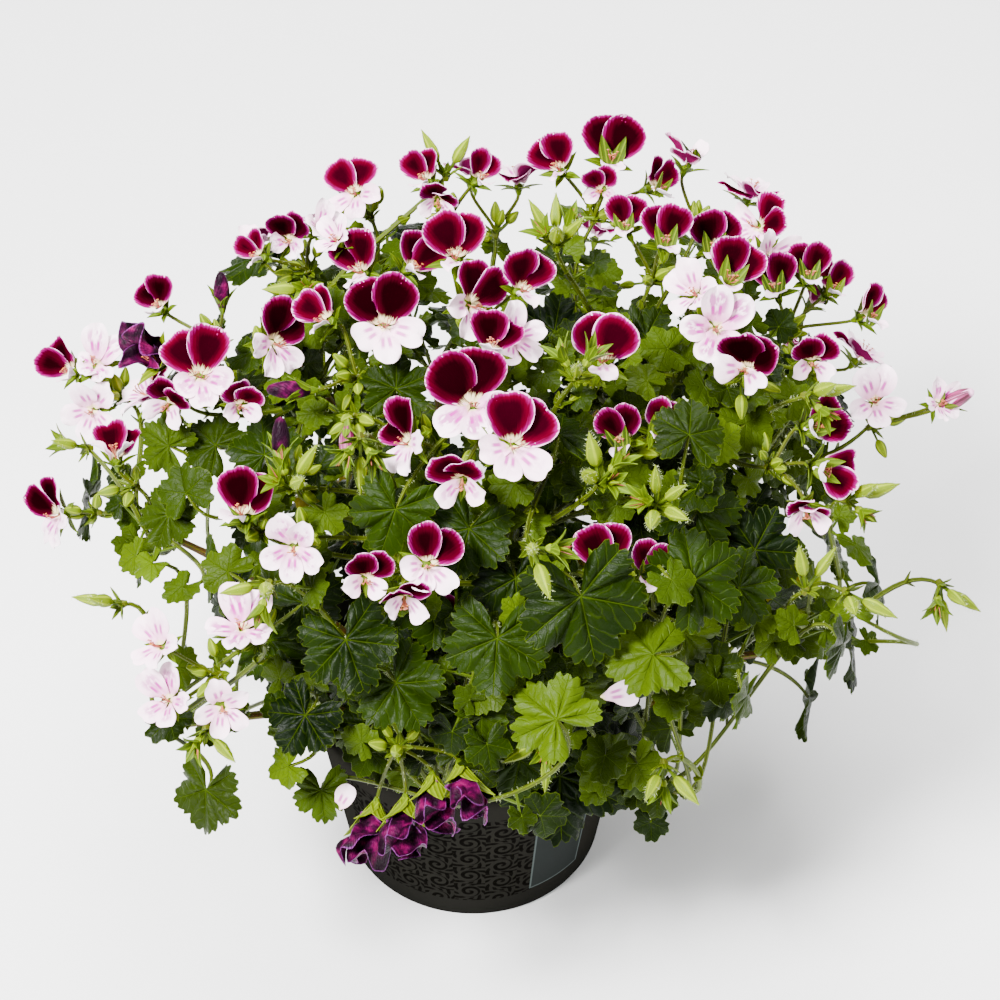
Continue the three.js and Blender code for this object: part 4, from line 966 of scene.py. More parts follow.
# %% The flat pattern of a petal
def petal_pattern(columns, rows, foot, fullness, notch):
    a, b = np.meshgrid(np.linspace(-1, 1, columns + 1), np.linspace(-1, 1, rows + 1))
    x = a * np.sqrt(1 - b * b / 2)
    along = (b * np.sqrt(1 - a * a / 2) + 1) / 2
    x = x * (foot + (1 - foot) * along**fullness)
    along = along - notch * np.exp(-((x / 0.22) ** 2)) * along**6
    x, along, a, b = x.ravel(), along.ravel(), abs(a).ravel(), abs(b).ravel()
    rim = grid_rim(columns, rows)
    gap = np.hypot(x[:, None] - x[rim], 2 * (along[:, None] - along[rim]))
    out = np.hypot(a, b) / np.hypot(1, np.minimum(a, b) / np.maximum(np.maximum(a, b), 0.01))
    return x, along, gap.min(axis=1), np.clip(out, 0, 1), grid_faces(columns, rows), rim


PATTERNS = {
    "upper": petal_pattern(12, 10, 0.40, 0.7, 0.02),
    "lower": petal_pattern(9, 9, 0.24, 0.75, 0.04),
}
LENGTHEN = {"upper": 1.13, "lower": 1.06}
PETAL_THICK = 0.22
WILT_CRUMPLE = 0.85
print("points on a petal:", {name: len(one[0]) for name, one in PATTERNS.items()})


# %% Bend a petal and set it on its flower
def put_petal(piece, flower, petal, finish, look, shape, half, cup, shift=0.0, twist=0.0):
    x, along, rim, edge, faces, loop = PATTERNS[shape]
    n, u, r = flower["frame"]
    out = r * sine(petal["angle"]) + u * cosine(petal["angle"])
    across = r * cosine(petal["angle"]) - u * sine(petal["angle"])
    fold = draw(-0.4, 1.8)
    first = rad(petal["open"] * 0.72)
    turn = rad(petal["open"] * 0.5) + 1e-3
    spin = np.arctan2(x, along - 0.5)
    wave = draw(0, 6.28, 3)
    swell = 1 + 0.04 * np.sin(3 * spin + wave[2]) * edge * np.clip(2 * along, 0, 1)
    along = 0.5 + (along - 0.5) * swell
    x = x * swell
    opening = first + turn * along
    length = petal["length"] * LENGTHEN[shape]
    outwards = length * (math.cos(first) - np.cos(opening)) / turn
    upwards = length * (np.sin(opening) - math.sin(first)) / turn
    face = n * np.sin(opening)[:, None] - out * np.cos(opening)[:, None]
    ruffle = (1.5 * np.sin(2 * spin + wave[0]) + 0.8 * np.sin(5 * spin + wave[1])
              + 0.35 * np.sin(9 * spin + wave[2])) * edge**3
    crumple = WILT_CRUMPLE if flower["kind"] == "wilt" else 0
    folds = np.sin(5 * x + wave[0] + 6 * along) + np.sin(9 * along + wave[1])
    height = cup * x * x + fold * abs(x) * along + 0.8 * ruffle + 2.4 * crumple * folds * along
    height = flower["scale"] * height + shift * along + twist * x * along
    half = half * flower["scale"]
    wide = half * (1 - 0.35 * crumple) * draw(0.93, 1.05)
    points = (flower["at"] + out * (0.6 * HUB_RADIUS + outwards)[:, None] + n * upwards[:, None]
              + across * (x * wide)[:, None] + face * height[:, None])
    spots = np.stack([x, along, rim * half], axis=1)
    put_sheet(piece, points, face, [faces], loop, PETAL_THICK, finish, spots, look)

# %% [markdown]
# ## Finishes
# The colours of this plant are bands, veins and freckles. An image could hold them, but a rule
# keeps them sharp at any size. Effects that several finishes share are node groups, built once.

# %% A short way to write shader nodes
class Value:
    """What a node puts out. Each sign between values adds a Math node."""

    def __init__(self, g, socket):
        self.g, self.socket = g, socket

    def math(self, operation, *others):
        node = self.g.add("ShaderNodeMath", operation=operation)
        for socket, value in zip(node.inputs, (self, *others)):
            self.g.set(socket, value)
        return Value(self.g, node.outputs[0])

    def __add__(self, other):
        return self.math("ADD", other)

    def __sub__(self, other):
        return self.math("SUBTRACT", other)

    def __mul__(self, other):
        return self.math("MULTIPLY", other)

    def __truediv__(self, other):
        return self.math("DIVIDE", other)

    def __abs__(self):
        return self.math("ABSOLUTE")

    def sine(self):
        return self.math("SINE")

    def scaled(self, factor, extra):
        return self.math("MULTIPLY_ADD", factor, extra)

    def most(self, other):
        return self.math("MAXIMUM", other)

    def fade(self, start, end):
        """0 where the value is at start, 1 where it is at end, smooth between."""
        node = self.g.add("ShaderNodeMapRange", {"Value": self, "From Min": start, "From Max": end},
                          interpolation_type="SMOOTHSTEP")
        return Value(self.g, node.outputs["Result"])


class Tree:
    """Adds nodes to a shader tree."""

    def __init__(self, tree):
        self.tree = tree

    def set(self, socket, value):
        if isinstance(value, Value):
            self.tree.links.new(value.socket, socket)
        elif socket.type == "RGBA" and len(value) == 3:
            socket.default_value = (*value, 1)
        else:
            socket.default_value = value

    def add(self, kind, inputs=(), **settings):
        node = self.tree.nodes.new(kind)
        for key, value in settings.items():
            setattr(node, key, value)
        for key, value in dict(inputs).items():
            self.set(node.inputs[key], value)
        return node

    def values(self, node):
        return [Value(self, socket) for socket in node.outputs]

    def mix(self, share, first, second, way="MIX"):
        node = self.add("ShaderNodeMix", data_type="RGBA", blend_type=way)
        colours = [socket for socket in node.inputs if socket.type == "RGBA"]
        for socket, value in zip((node.inputs["Factor"], *colours), (share, first, second)):
            self.set(socket, value)
        return Value(self, next(socket for socket in node.outputs if socket.type == "RGBA"))

    def noise(self, vector, scale, detail=2.0, roughness=0.5):
        return self.values(self.add("ShaderNodeTexNoise", {
            "Vector": vector, "Scale": scale, "Detail": detail, "Roughness": roughness}))[0]

    def join(self, x, y, z):
        return self.values(self.add("ShaderNodeCombineXYZ", {"X": x, "Y": y, "Z": z}))[0]

    def split(self, vector):
        return self.values(self.add("ShaderNodeSeparateXYZ", {"Vector": vector}))

    def use(self, name, inputs):
        group = bpy.data.node_groups[name]
        return self.values(self.add("ShaderNodeGroup", inputs, node_tree=group))


class Effect(Tree):
    """A node group. Its inputs are given with their starting numbers, or None for a place."""

    def __init__(self, name, inputs, outputs):
        super().__init__(bpy.data.node_groups.new(name, "ShaderNodeTree"))
        for title, start in inputs.items():
            kind = "NodeSocketVector" if start is None else "NodeSocketFloat"
            socket = self.tree.interface.new_socket(title, in_out="INPUT", socket_type=kind)
            if start is not None:
                socket.default_value = start
        for title in outputs:
            self.tree.interface.new_socket(title, in_out="OUTPUT", socket_type="NodeSocketFloat")
        self.given = self.values(self.add("NodeGroupInput"))[:len(inputs)]
        self.results = self.add("NodeGroupOutput").inputs

    def put_out(self, *values):
        for socket, value in zip(self.results, values):
            self.set(socket, value)


class Finish(Tree):
    """A material with its shader, the place of each point in metres, and its freckles."""

    def __init__(self, name, freckle_scale, freckle_amount):
        material = FINISHES[name] = bpy.data.materials.new(name)
        material.use_nodes = True
        material.node_tree.nodes.clear()
        super().__init__(material.node_tree)
        self.shader = self.add("ShaderNodeBsdfPrincipled")
        output = self.add("ShaderNodeOutputMaterial")
        self.set(output.inputs["Surface"], Value(self, self.shader.outputs[0]))
        self.here = Value(self, self.add("ShaderNodeTexCoord").outputs["Object"])
        self.shade, self.grain = self.use("Freckle", {
            "Place": self.here, "Scale": freckle_scale, "Amount": freckle_amount})

    def marks(self):
        """Where a point is on its pattern, and its look: tone, side and a third number."""
        nodes = [self.add("ShaderNodeAttribute", attribute_name=name) for name in ("spot", "look")]
        return [self.split(Value(self, node.outputs["Vector"])) for node in nodes]

    def veins(self, across, along, tone, count):
        return self.use("Fan veins",
                        {"Across": across, "Along": along, "Tone": tone, "Count": count})

    def paint(self, colour, rough=0.5, gloss=0.5, sheen=0.0):
        """Colour under its freckles, and the settings of the surface."""
        freckled = self.mix(1.0, colour, self.join(self.shade, self.shade, self.shade), "MULTIPLY")
        for key, value in {"Base Color": freckled, "Roughness": rough, "Specular IOR Level": gloss,
                           "Sheen Weight": sheen}.items():
            self.set(self.shader.inputs[key], value)

    def bump(self, height, distance, strength):
        node = self.add("ShaderNodeBump",
                        {"Height": height, "Distance": distance, "Strength": strength})
        self.set(self.shader.inputs["Normal"], Value(self, node.outputs["Normal"]))


# %% [markdown]
# ### Effects that are shared
# Freckles break up a flat colour on every part. Fan veins run out from the foot of a petal. Palm
# veins run from the foot of a leaf to its lobes, with side veins in a herringbone between them.

# %% Shared effects
LOBE_STEP = 64

g = Effect("Freckle", {"Place": None, "Scale": 300.0, "Amount": 0.2}, ["Shade", "Grain"])
at, scale, amount = g.given
broad = g.noise(at, scale, 3.0)
grain = g.noise(at, scale * 6.0, 2.0)
g.put_out((broad * 0.7 + grain * 0.3 - 0.5).scaled(amount, 1.0), grain)

g = Effect("Fan veins", {"Across": 0.0, "Along": 0.0, "Tone": 0.0, "Count": 9.0},
           ["Vein", "Streak"])
across, along, tone, count = g.given
spread = across / (along * 0.8 + 0.3)
warp = g.noise(g.join(spread, along, tone), 4.0, 2.0)
lines = (spread * (count * 3.1) + warp * 5.0).sine()
g.put_out(abs(lines).fade(0.35, 0.0), g.noise(g.join(spread * 9.0, along * 1.6, tone), 1.6, 3.0))

g = Effect("Palm veins", {"X": 0.0, "Y": 0.0}, ["Vein", "Side vein"])
x, y = g.given
far = (x * x + y * y).math("SQRT")
turn = x.math("ARCTAN2", y) / rad(LOBE_STEP)
part = turn - turn.math("ROUND")
off = abs((part * rad(LOBE_STEP)).sine()) * far
ahead = (part * rad(LOBE_STEP)).math("COSINE") * far
bent = g.noise(g.join(x, y, part), 3.0, 1.0) * 0.22
comb = ((ahead + bent - off * 0.9) * 5.0).math("FRACT")
g.put_out(off.fade(ahead.scaled(-0.016, 0.027), 0.0),
          abs(comb - 0.5).fade(0.14, 0.02) * far.fade(0.12, 0.3))
print("shared effects:", [group.name for group in bpy.data.node_groups])

# %% [markdown]
# ### Petal colours
# An upper petal is nearly black-red inside, then magenta, then a pale rim about a millimetre
# wide. The bands follow the distance from the rim, and a streaky noise frays them the way
# pigment fades between veins. A lower petal is blush white with two short magenta strokes.

# %% Upper petals
DEEP_RED = (0.0036, 0.0, 0.0003)
PLUM = (0.0155, 0.0, 0.0022)
CRIMSON = (0.058, 0.0, 0.0062)
MAGENTA = (0.165, 0.0, 0.080)
BLUSH = (0.87, 0.45, 0.69)
CREAM = (0.80, 0.68, 0.36)

g = Finish("upper_petal", 420.0, 0.35)
(across, along, rim), (tone, side, _) = g.marks()
vein, streak = g.veins(across, along, tone, 10.0)
frayed = rim + (streak - 0.5) * 2.7 + tone * -0.5
blotch = g.mix(frayed.fade(1.6, 5.2), g.mix(tone.fade(-0.3, 0.8), PLUM, CRIMSON),
               g.mix(tone, DEEP_RED, PLUM))
band = g.mix(frayed.fade(0.2, 2.0), MAGENTA, blotch)
colour = g.mix(frayed.fade(-0.5, 0.38), BLUSH, band)
throat = (along + streak * 0.34).fade(0.35, 0.25)
colour = g.mix(throat, colour, g.mix(vein * 0.85, CREAM, CRIMSON))
behind = g.mix(vein, (0.20, 0.006, 0.075), (0.085, 0.001, 0.025))
behind = g.mix(frayed.fade(0.3, 2.0), BLUSH, behind)
g.paint(g.mix(side, behind, colour), rough=0.62, gloss=0.0)
g.bump(vein + g.grain, 0.0002, 0.35)

# %% Lower petals, and the petals of pale flowers
g = Finish("lower_petal", 300.0, 0.14)
(across, along, rim), (tone, side, mark) = g.marks()
vein, streak = g.veins(across, along, tone, 6.0)
white = g.mix(along.fade(0.9, 0.1), (1.0, 0.82, 0.90), (0.98, 0.60, 0.78))
white = g.mix(streak * tone.scaled(0.7, 0.1), white, (0.89, 0.46, 0.68))
apart = abs(abs(across) - along.scaled(0.18, 0.10))
stroke = (apart + (streak - 0.5) * 0.12).fade(0.15, 0.04)
strokes = stroke * (along.fade(0.22, 0.36) * along.fade(0.66, 0.5)) * mark.scaled(0.25, 0.8)
stain = g.noise(g.join(across, along, tone * 9.0), 3.5, 2.0)
stain = stain.fade(0.44, 0.57) * (rim.fade(1.0, 3.5) * mark.fade(0.3, 0.9))
colour = g.mix(strokes.most(stain * 0.8), white, (0.40, 0.004, 0.28))
colour = g.mix(along.fade(0.5, 0.2) * (mark * 0.6), colour, (0.62, 0.16, 0.44))
colour = g.mix(along.fade(0.16, 0.06), colour, CREAM)
behind = g.mix(vein * 0.5, (0.84, 0.72, 0.78), (0.66, 0.42, 0.56))
g.paint(g.mix(side, behind, colour), rough=0.6, gloss=0.2, sheen=0.15)
g.bump(vein + g.grain, 0.00025, 0.3)

# %% Faded petals, which turn blue-violet and crumple
g = Finish("faded_petal", 500.0, 0.5)
(across, along, rim), (tone, side, _) = g.marks()
vein, _ = g.veins(across, along, tone, 12.0)
patches = g.noise(g.here, 160.0, 3.0)
colour = g.mix(patches.fade(0.4, 0.6), (0.006, 0.0, 0.004), (0.050, 0.0, 0.026))
colour = g.mix(patches.fade(0.52, 0.70), colour, (0.14, 0.0, 0.052))
colour = g.mix(rim.fade(0.6, 0.1) * 0.35, colour, (0.32, 0.06, 0.34))
g.paint(g.mix(vein * 0.5, colour, (0.02, 0.0, 0.012)), rough=0.5, gloss=0.08)
g.bump(patches + vein + g.noise(g.here, 620.0, 3.0), 0.0008, 0.8)
print("petal finishes made")

# %% [markdown]
# ### Greens
# Leaves are darker and glossier the older they are, with lighter veins sunk into the blade and a
# pale line round the teeth. Young shoots and buds are yellow-green, with paler ribs.

# %% Leaves
OLD_GREEN = (0.0009, 0.0036, 0.0)
LEAF_GREEN = (0.0095, 0.0215, 0.0)
YOUNG_GREEN = (0.080, 0.135, 0.0)
VEIN_GREEN = (0.045, 0.080, 0.0)
OLD_YELLOW = (0.125, 0.095, 0.0)

g = Finish("leaf", 260.0, 0.55)
(x, y, rim), (tone, side, young) = g.marks()
vein, side_vein = g.use("Palm veins", {"X": x, "Y": y})
patch = g.noise(g.here, 45.0, 3.0)
base = g.mix(tone + (patch - 0.5) * 0.9, OLD_GREEN, LEAF_GREEN)
base = g.mix(young, base, YOUNG_GREEN)
base = g.mix(young.fade(1.1, 1.9), base, OLD_YELLOW)
base = g.mix((vein * 0.5).most(side_vein * 0.12), base, VEIN_GREEN)
base = g.mix(rim.fade(0.5, 0.1) * 0.25, base, (0.085, 0.13, 0.002))
under = g.mix(vein * 0.8, (0.019, 0.038, 0.0), (0.062, 0.10, 0.003))
g.paint(g.mix(side, under, base), rough=g.grain.scaled(0.2, 0.28), gloss=0.055)
sunk = vein.most(side_vein * 0.5)
g.bump(g.noise(g.here, 260.0, 1.0).scaled(1.1, sunk * -1.0) + g.grain * 0.4, 0.0007, 0.7)


# %% Stems, sepals and green buds
def green_finish(name, old, new, tip, ribs):
    g = Finish(name, 340.0, 0.5)
    (around, _, _), (tone, _, red) = g.marks()
    rib = (around * (ribs * TURN)).sine()
    colour = g.mix(rib.fade(0.2, 1.0), g.mix(tone, old, new), tip)
    colour = g.mix(red * g.grain.fade(0.35, 0.6), colour, (0.11, 0.030, 0.010))
    g.paint(colour, gloss=0.12)
    g.bump(rib * 0.6 + g.grain, 0.0003, 0.5)


green_finish("stem", (0.007, 0.018, 0.0), (0.050, 0.085, 0.0), (0.075, 0.12, 0.0), 5)
green_finish("sepal", (0.012, 0.030, 0.0), (0.070, 0.118, 0.0), (0.10, 0.155, 0.0), 3)
green_finish("bud", (0.036, 0.068, 0.0), (0.130, 0.190, 0.0), (0.20, 0.26, 0.003), 5)

# %% Shut flowers, stamens and hairs
g = Finish("shut_petal", 400.0, 0.3)
(around, along, _), (tone, _, _) = g.marks()
streak = g.noise(g.join(around * 14.0, along, tone), 2.0, 3.0)
colour = g.mix(streak.fade(0.35, 0.6), (0.04, 0.0, 0.008), (0.22, 0.004, 0.085))
rolled = around.scaled(12.57, along * 3.0).sine().fade(0.9, 1.0)
g.paint(g.mix((rolled * 0.8).most(along.fade(0.9, 1.0)), colour, BLUSH))
g.bump(streak + rolled, 0.0004, 0.5)

g = Finish("stamen", 900.0, 0.6)
(_, along, _), (_, _, ripe) = g.marks()
thread = g.mix(along, (0.45, 0.16, 0.08), (0.20, 0.010, 0.012))
g.paint(g.mix(ripe, thread, (0.42, 0.13, 0.02)))

g = Finish("hair", 700.0, 0.4)
g.set(g.shader.inputs["Base Color"], g.mix(g.grain, (0.30, 0.38, 0.14), (0.52, 0.58, 0.32)))
g.set(g.shader.inputs["Roughness"], 0.5)
print("finishes so far:", list(FINISHES))

# %% [markdown]
# ## Flower heads
# Behind each flower are five pointed sepals on a thin pedicel, and all pedicels of a head meet at
# a hub with small bracts. In the throat stand red stamens. They are small, but they are what makes
# a head look grown and not stuck together.

# %% A pointed blade, for sepals, bracts and stipules
BLADE_ROWS = 4
BLADE_THICK = 0.3


def blade_pattern(rows):
    a, b = np.meshgrid(np.linspace(-1, 1, 3), np.linspace(0, 1, rows + 1))
    wide = np.clip(np.sin(np.pi * (0.1 + 0.9 * b) ** 0.85), 0.02, 1) * (1 - 0.25 * b)
    return (a * wide).ravel(), b.ravel(), grid_faces(2, rows), grid_rim(2, rows)


BLADE = blade_pattern(BLADE_ROWS)


def put_blade(piece, foot, way, face, length, half, curl, finish, tone, third=0):
    """A narrow pointed blade from its foot along way, folded along its middle, facing face."""
    x, along, faces, rim = BLADE
    way = unit(way)
    across = unit(cross(way, face))
    up = cross(across, way)
    line = (foot + way * (length * along * (1 - 0.3 * (curl * along) ** 2))[:, None]
            + up * (length * 0.5 * curl * along * along)[:, None])
    points = line + across * (x * half)[:, None] + up * (abs(x) * half * 0.35)[:, None]
    spots = np.stack([x * 0.5, along, (1 - abs(x)) * half], axis=1)
    put_sheet(piece, points, np.broadcast_to(up, points.shape), [faces], rim, BLADE_THICK, finish,
              spots, (tone, third))


def put_bead(piece, at, way, length, radius, finish, third=0):
    """A small bead, such as an anther."""
    put_tube(piece, at + np.outer([-0.5, 0, 0.5], way) * length,
             [0.4 * radius, radius, 0.4 * radius], 5, finish, 0, third)


def put_hairs(piece, line, radii, count, length):
    """Short pale hairs that stand off a stem, each a thin four-sided spike."""
    radii = np.broadcast_to(radii, (len(line),))
    where = draw(0, len(line) - 1.01, count)
    k, part = where.astype(int), (where % 1)[:, None]
    at = line[k] * (1 - part) + line[k + 1] * part
    along = line[k + 1] - line[k]
    out = np.cross(along, fine.normal(size=(count, 3)))
    out /= sizes(out)[:, None] + 1e-9
    along /= sizes(along)[:, None] + 1e-9
    side = np.cross(along, out) * 0.07
    foot = at + out * (radii[k] * 0.9)[:, None]
    reach = radii[k] + length * draw(0.6, 1.2, count)
    tip = at + (out + along * 0.25) * reach[:, None]
    points = np.stack([foot - side, foot + side, foot + along * 0.12, tip], axis=1).reshape(-1, 3)
    start = np.arange(count)[:, None] * 4
    faces = [start + np.array(turn) for turn in ((0, 2, 1), (0, 1, 3), (1, 2, 3), (2, 0, 3))]
    piece.put(points, [np.concatenate(faces)], "hair", (0, 0, 0), (0, 1, 0))


# %% Sepals, hub and stamens
SEPAL_LENGTH = 12.5
SEPALS = 5
STAMENS = 7
ANTHERS = 3
BRACTS = 7


def sides_of(n, hint):
    """Two directions square to n and to each other."""
    side = unit(cross(n, hint))
    return side, cross(n, side)


def put_sepals(piece, foot, n, sides, radius, spreads, length, shares, half, curl, finish, tone):
    """Five sepals in a ring round n. Each draws its spread from n and its share of the length."""
    start = draw(0, 6.28)
    for k in range(SEPALS):
        turn = start + TURN * k / SEPALS
        out = sides[0] * math.cos(turn) + sides[1] * math.sin(turn)
        spread = draw(*spreads)
        put_blade(piece, foot + out * radius, n * math.cos(spread) + out * math.sin(spread),
                  n * math.sin(spread) - out * math.cos(spread), length * draw(*shares), half, curl,
                  finish, tone)


def put_calyx(piece, flower, openness, tone):
    n, u, r = flower["frame"]
    scale = flower["scale"]
    base = flower["at"] - n * (CALYX_LENGTH - 0.5)
    put_tube(piece, [base - n, base + n * 1.6, flower["at"] - n * 1.4], [1.0, 1.9, 2.0], 7, "sepal",
             tone)
    length, half, finish = ((19, 4.8, "bud") if flower["kind"] == "wilt"
                            else (SEPAL_LENGTH * scale, 2.4 * scale, "sepal"))
    put_sepals(piece, base + n * 1.5, n, (r, u), 1.4, (openness - 0.12, openness + 0.12), length,
               (0.85, 1.1), half, -0.35, finish, tone)


def put_spent_flower(piece, base, n, length, tone):
    """A flower past its time: spread sepals round a beak with a few red threads."""
    side, other = sides_of(n, (0.3, 0.8, 0.5))
    put_sepals(piece, base, n, (side, other), 1.0, (0.25, 0.6), length, (0.75, 1.0), 2.7, -0.4,
               "sepal", tone)
    put_tube(piece, base + np.outer([-1.5, 0, 2, 5, 8], n), [1.2, 2.0, 1.6, 0.7, 0.35], 8, "bud",
             tone)
    for _ in range(3):
        way = unit(n * 2 + side * draw(-1, 1) + other * draw(-1, 1))
        put_tube(piece, base + np.outer([3, 6, 9], way), [0.25, 0.2, 0.15], 3, "stamen", 0)


def put_hub(piece, hub, away, tone):
    put_tube(piece, [hub - away * 2.2, hub, hub + away * 1.4], [1.3, 2.0, 1.3], 8, "stem", tone,
             0.3)
    side, other = sides_of(away, (0.2, 0.9, 0.4))
    for k in range(BRACTS):
        out = side * math.cos(2.4 * k) + other * math.sin(2.4 * k)
        put_blade(piece, hub + out * 1.2, out * 0.9 + away * draw(0.1, 0.9), away - out * 0.2,
                  draw(5, 8), 1.7, 0.2, "sepal", tone * 0.7, 0.1)


def put_stamens(piece, flower):
    at, (n, u, r) = flower["at"], flower["frame"]
    for k in range(STAMENS):
        aside = draw(-1, 1)
        reach = draw(7.0, 9.5) * flower["scale"]
        way = n * 0.95 - u * draw(0.15, 0.5) + r * aside * 0.35
        end = at + way * reach + u * reach * 0.30
        bends = (at - n, at + n * 0.4 * reach - u * 0.16 * reach, at + way * 0.8 * reach, end)
        put_tube(piece, curve(bends, 3), [0.26, 0.23, 0.2, 0.17], 3, "stamen", 0)
        put_bead(piece, end, r, 1.2, 0.34, "stamen", 1 if k < ANTHERS else 0)


def put_pedicel(piece, head, flower, tone):
    hub, away, end, n = head["hub"], head["away"], calyx_end(flower), flower["frame"][0]
    reach = size(end - hub)
    line = curve((hub, hub + away * 0.2 * reach, end - n * 0.22 * reach, end + n * 0.6), 7)
    put_tube(piece, line, np.linspace(0.95, 0.8, 8), 6, "stem", tone, 0.25)
    put_hairs(piece, line, 0.85, 22, 1.5)


# %% Room for a flower among the others
FLOWERS_AT = np.array([flower["at"] for head in heads for flower in head["flowers"]])
FULL_ROOM = 23
LEAST_ROOM = 0.72
OPEN_REACH = 60


def room_of(flower):
    """How much a petal may widen before it meets the next flower."""
    gaps = np.sort(sizes(FLOWERS_AT - flower["at"]))
    return float(np.clip(gaps[1] / FULL_ROOM, LEAST_ROOM, 1))


def reach_of(flower, angle):
    """How long a petal may be before it meets the flower it points at."""
    _, u, r = flower["frame"]
    gaps = FLOWERS_AT - flower["at"]
    far = sizes(gaps) + 1e-9
    ahead = gaps @ (r * sine(angle) + u * cosine(angle)) / far
    return 0.58 * float(far[ahead > 0.6].min(initial=OPEN_REACH))


# %% Whole flowers of each kind
SHELTERED = 55
UPPER_ANGLE = 26
FINE_PALE_HALF = 8.8
FINE_LOWER_HALF = 7.6


def put_front_sepals(piece, flower, tone):
    """Two long sepals that stand up before the throat, as the picture shows on the right."""
    n, u, r = flower["frame"]
    scale = flower["scale"]
    foot = flower["at"] - u * 4.5 + n * 2
    for aside in (-0.4, 0.3):
        put_blade(piece, foot + r * 4 * aside, u + n * 0.7 + r * aside, n, 15 * scale, 3.2 * scale,
                  0.15, "sepal", tone)


def put_open_flower(piece, flower):
    kind, tone = flower["kind"], draw(0, 1)
    front = 1 if fine.random() < 0.5 else -1
    cup = draw(0.8, 2.8)
    lean = draw(-9, 7) if kind in ("open", "cup") else 0
    mark = draw(0.4, 1) if kind == "pale" else draw(0, 1) ** 2
    petals = petals_of(flower)
    for petal in petals[:2]:
        side = math.copysign(1, petal["angle"])
        petal.update(angle=side * UPPER_ANGLE, open=petal["open"] + lean)
        finish = {"wilt": "faded_petal", "pale": "lower_petal"}.get(kind, "upper_petal")
        half = FINE_PALE_HALF if kind == "pale" else 6.0 + 6.0 * room_of(flower)
        put_petal(piece, flower, petal, finish, (tone, mark), "upper", half, cup,
                  shift=2.1 * side * front, twist=-0.9 * front)
    for index, petal in enumerate(petals[2:]):
        petal["length"] = min(petal["length"], reach_of(flower, petal["angle"]))
        finish = "faded_petal" if kind == "wilt" and index < 2 else "lower_petal"
        put_petal(piece, flower, petal, finish, (tone, mark), "lower", FINE_LOWER_HALF,
                  draw(0.6, 2.2), shift=0.9 if petal["angle"] == 180 else 0)
    put_stamens(piece, flower)
    if kind == "pair" and flower["at"][0] > SHELTERED:
        put_front_sepals(piece, flower, tone)


def put_shut_flower(piece, flower):
    finish = "faded_petal" if fine.random() < 0.4 else "shut_petal"
    n, scale = flower["frame"][0], flower["scale"]
    t = np.linspace(0, 1, 11)
    line = flower["at"] - n * 3 + np.outer(t, n) * (BUD_LENGTH * scale + 2)
    radii = 0.7 + 3.1 * scale * np.sin(np.pi * (0.12 + 0.8 * t)) ** 0.8
    put_tube(piece, line, radii, 12, finish, draw(0, 1))


def put_small_bud(piece, hub, way, length, tone):
    end = hub + way * length
    put_tube(piece, curve((hub, hub + way * 0.5 * length, end - way, end), 4), 0.6, 5, "stem", tone)
    swell = draw(0.8, 1.25)
    t = np.linspace(0, 1, 7)
    radii = 0.3 + 2.0 * swell * np.sin(np.pi * (0.1 + 0.84 * t**0.8))
    put_tube(piece, end + np.outer(t, way) * 8 * swell, radii, 10, "bud", tone * 0.8)


# %% Draw every head
HEAD_FINISHES = ["upper_petal", "lower_petal", "faded_petal", "shut_petal", "sepal", "stem", "bud",
                 "stamen", "hair"]
OPENNESS = {"open": 1.25, "cup": 0.8, "pair": 0.85, "pale": 1.15, "shut": 0.35, "wilt": 0.5}
WILT_BACK = 7
WILT_SIZE = 1.4
STAGGER = 10
SMALL_BUDS = 5

for head in heads:
    piece = Piece(HEAD_FINISHES)
    tone = draw(0.3, 1)
    put_hub(piece, head["hub"], head["away"], tone)
    for index, flower in enumerate(head["flowers"]):
        wilt = flower["kind"] == "wilt"
        step = -WILT_BACK if wilt else STAGGER * (1 - room_of(flower)) * (1 if index % 2 else -1)
        flower = {**flower, "at": flower["at"] + step * flower["frame"][0]}
        put_pedicel(piece, head, flower, tone)
        put_calyx(piece, flower, OPENNESS[flower["kind"]], tone)
        flower["scale"] *= WILT_SIZE if wilt else 1
        put_flower = put_shut_flower if flower["kind"] == "shut" else put_open_flower
        put_flower(piece, flower)
    for _ in range(SMALL_BUDS):
        way = unit(head["away"] * 0.7 + fine.normal(size=3) * 0.6)
        put_small_bud(piece, head["hub"], way, draw(4, 9), tone)
    finish_piece(piece.build("flowers_" + head["name"][-2:]), head["name"], "flowers")
print("heads drawn:", len(heads))

# %% [markdown]
# ## Leaves
# A pelargonium leaf is a fan: five shallow lobes with a toothed edge, drawn round the point where
# the petiole joins. A fan of rings round that point follows the real veins, so each ring can be
# lifted, puffed between the veins and ruffled towards the edge.

# %% The fan of a leaf
LAST_ANGLE = 158
NOTCH_ANGLE = 140
NOTCH_FADE = 26
LEAF_THICK = 0.35
TEETH = np.array([0.935, 1.02, 1.03])
TOOTH_CHANCE = 0.012
# Rays and rings of a leaf that is wider than the first number
DETAIL = [(38, 97, 6), (27, 76, 5), (0, 37, 2)]


def fan_faces(rays, rings):
    ray = np.arange(rays - 1)
    inner = np.stack([np.zeros(rays - 1, int), ray + 2, ray + 1], axis=1)
    bands = np.roll(quads(ray + 1, ray + 2, rays, rings - 1), -1, axis=1)
    left = 1 + np.arange(rings - 1) * rays
    last = 1 + (rings - 1) * rays + np.arange(rays)
    rim = np.concatenate([[0], left, last, (left + rays - 1)[::-1]])
    return [inner, bands], rim[::-1]


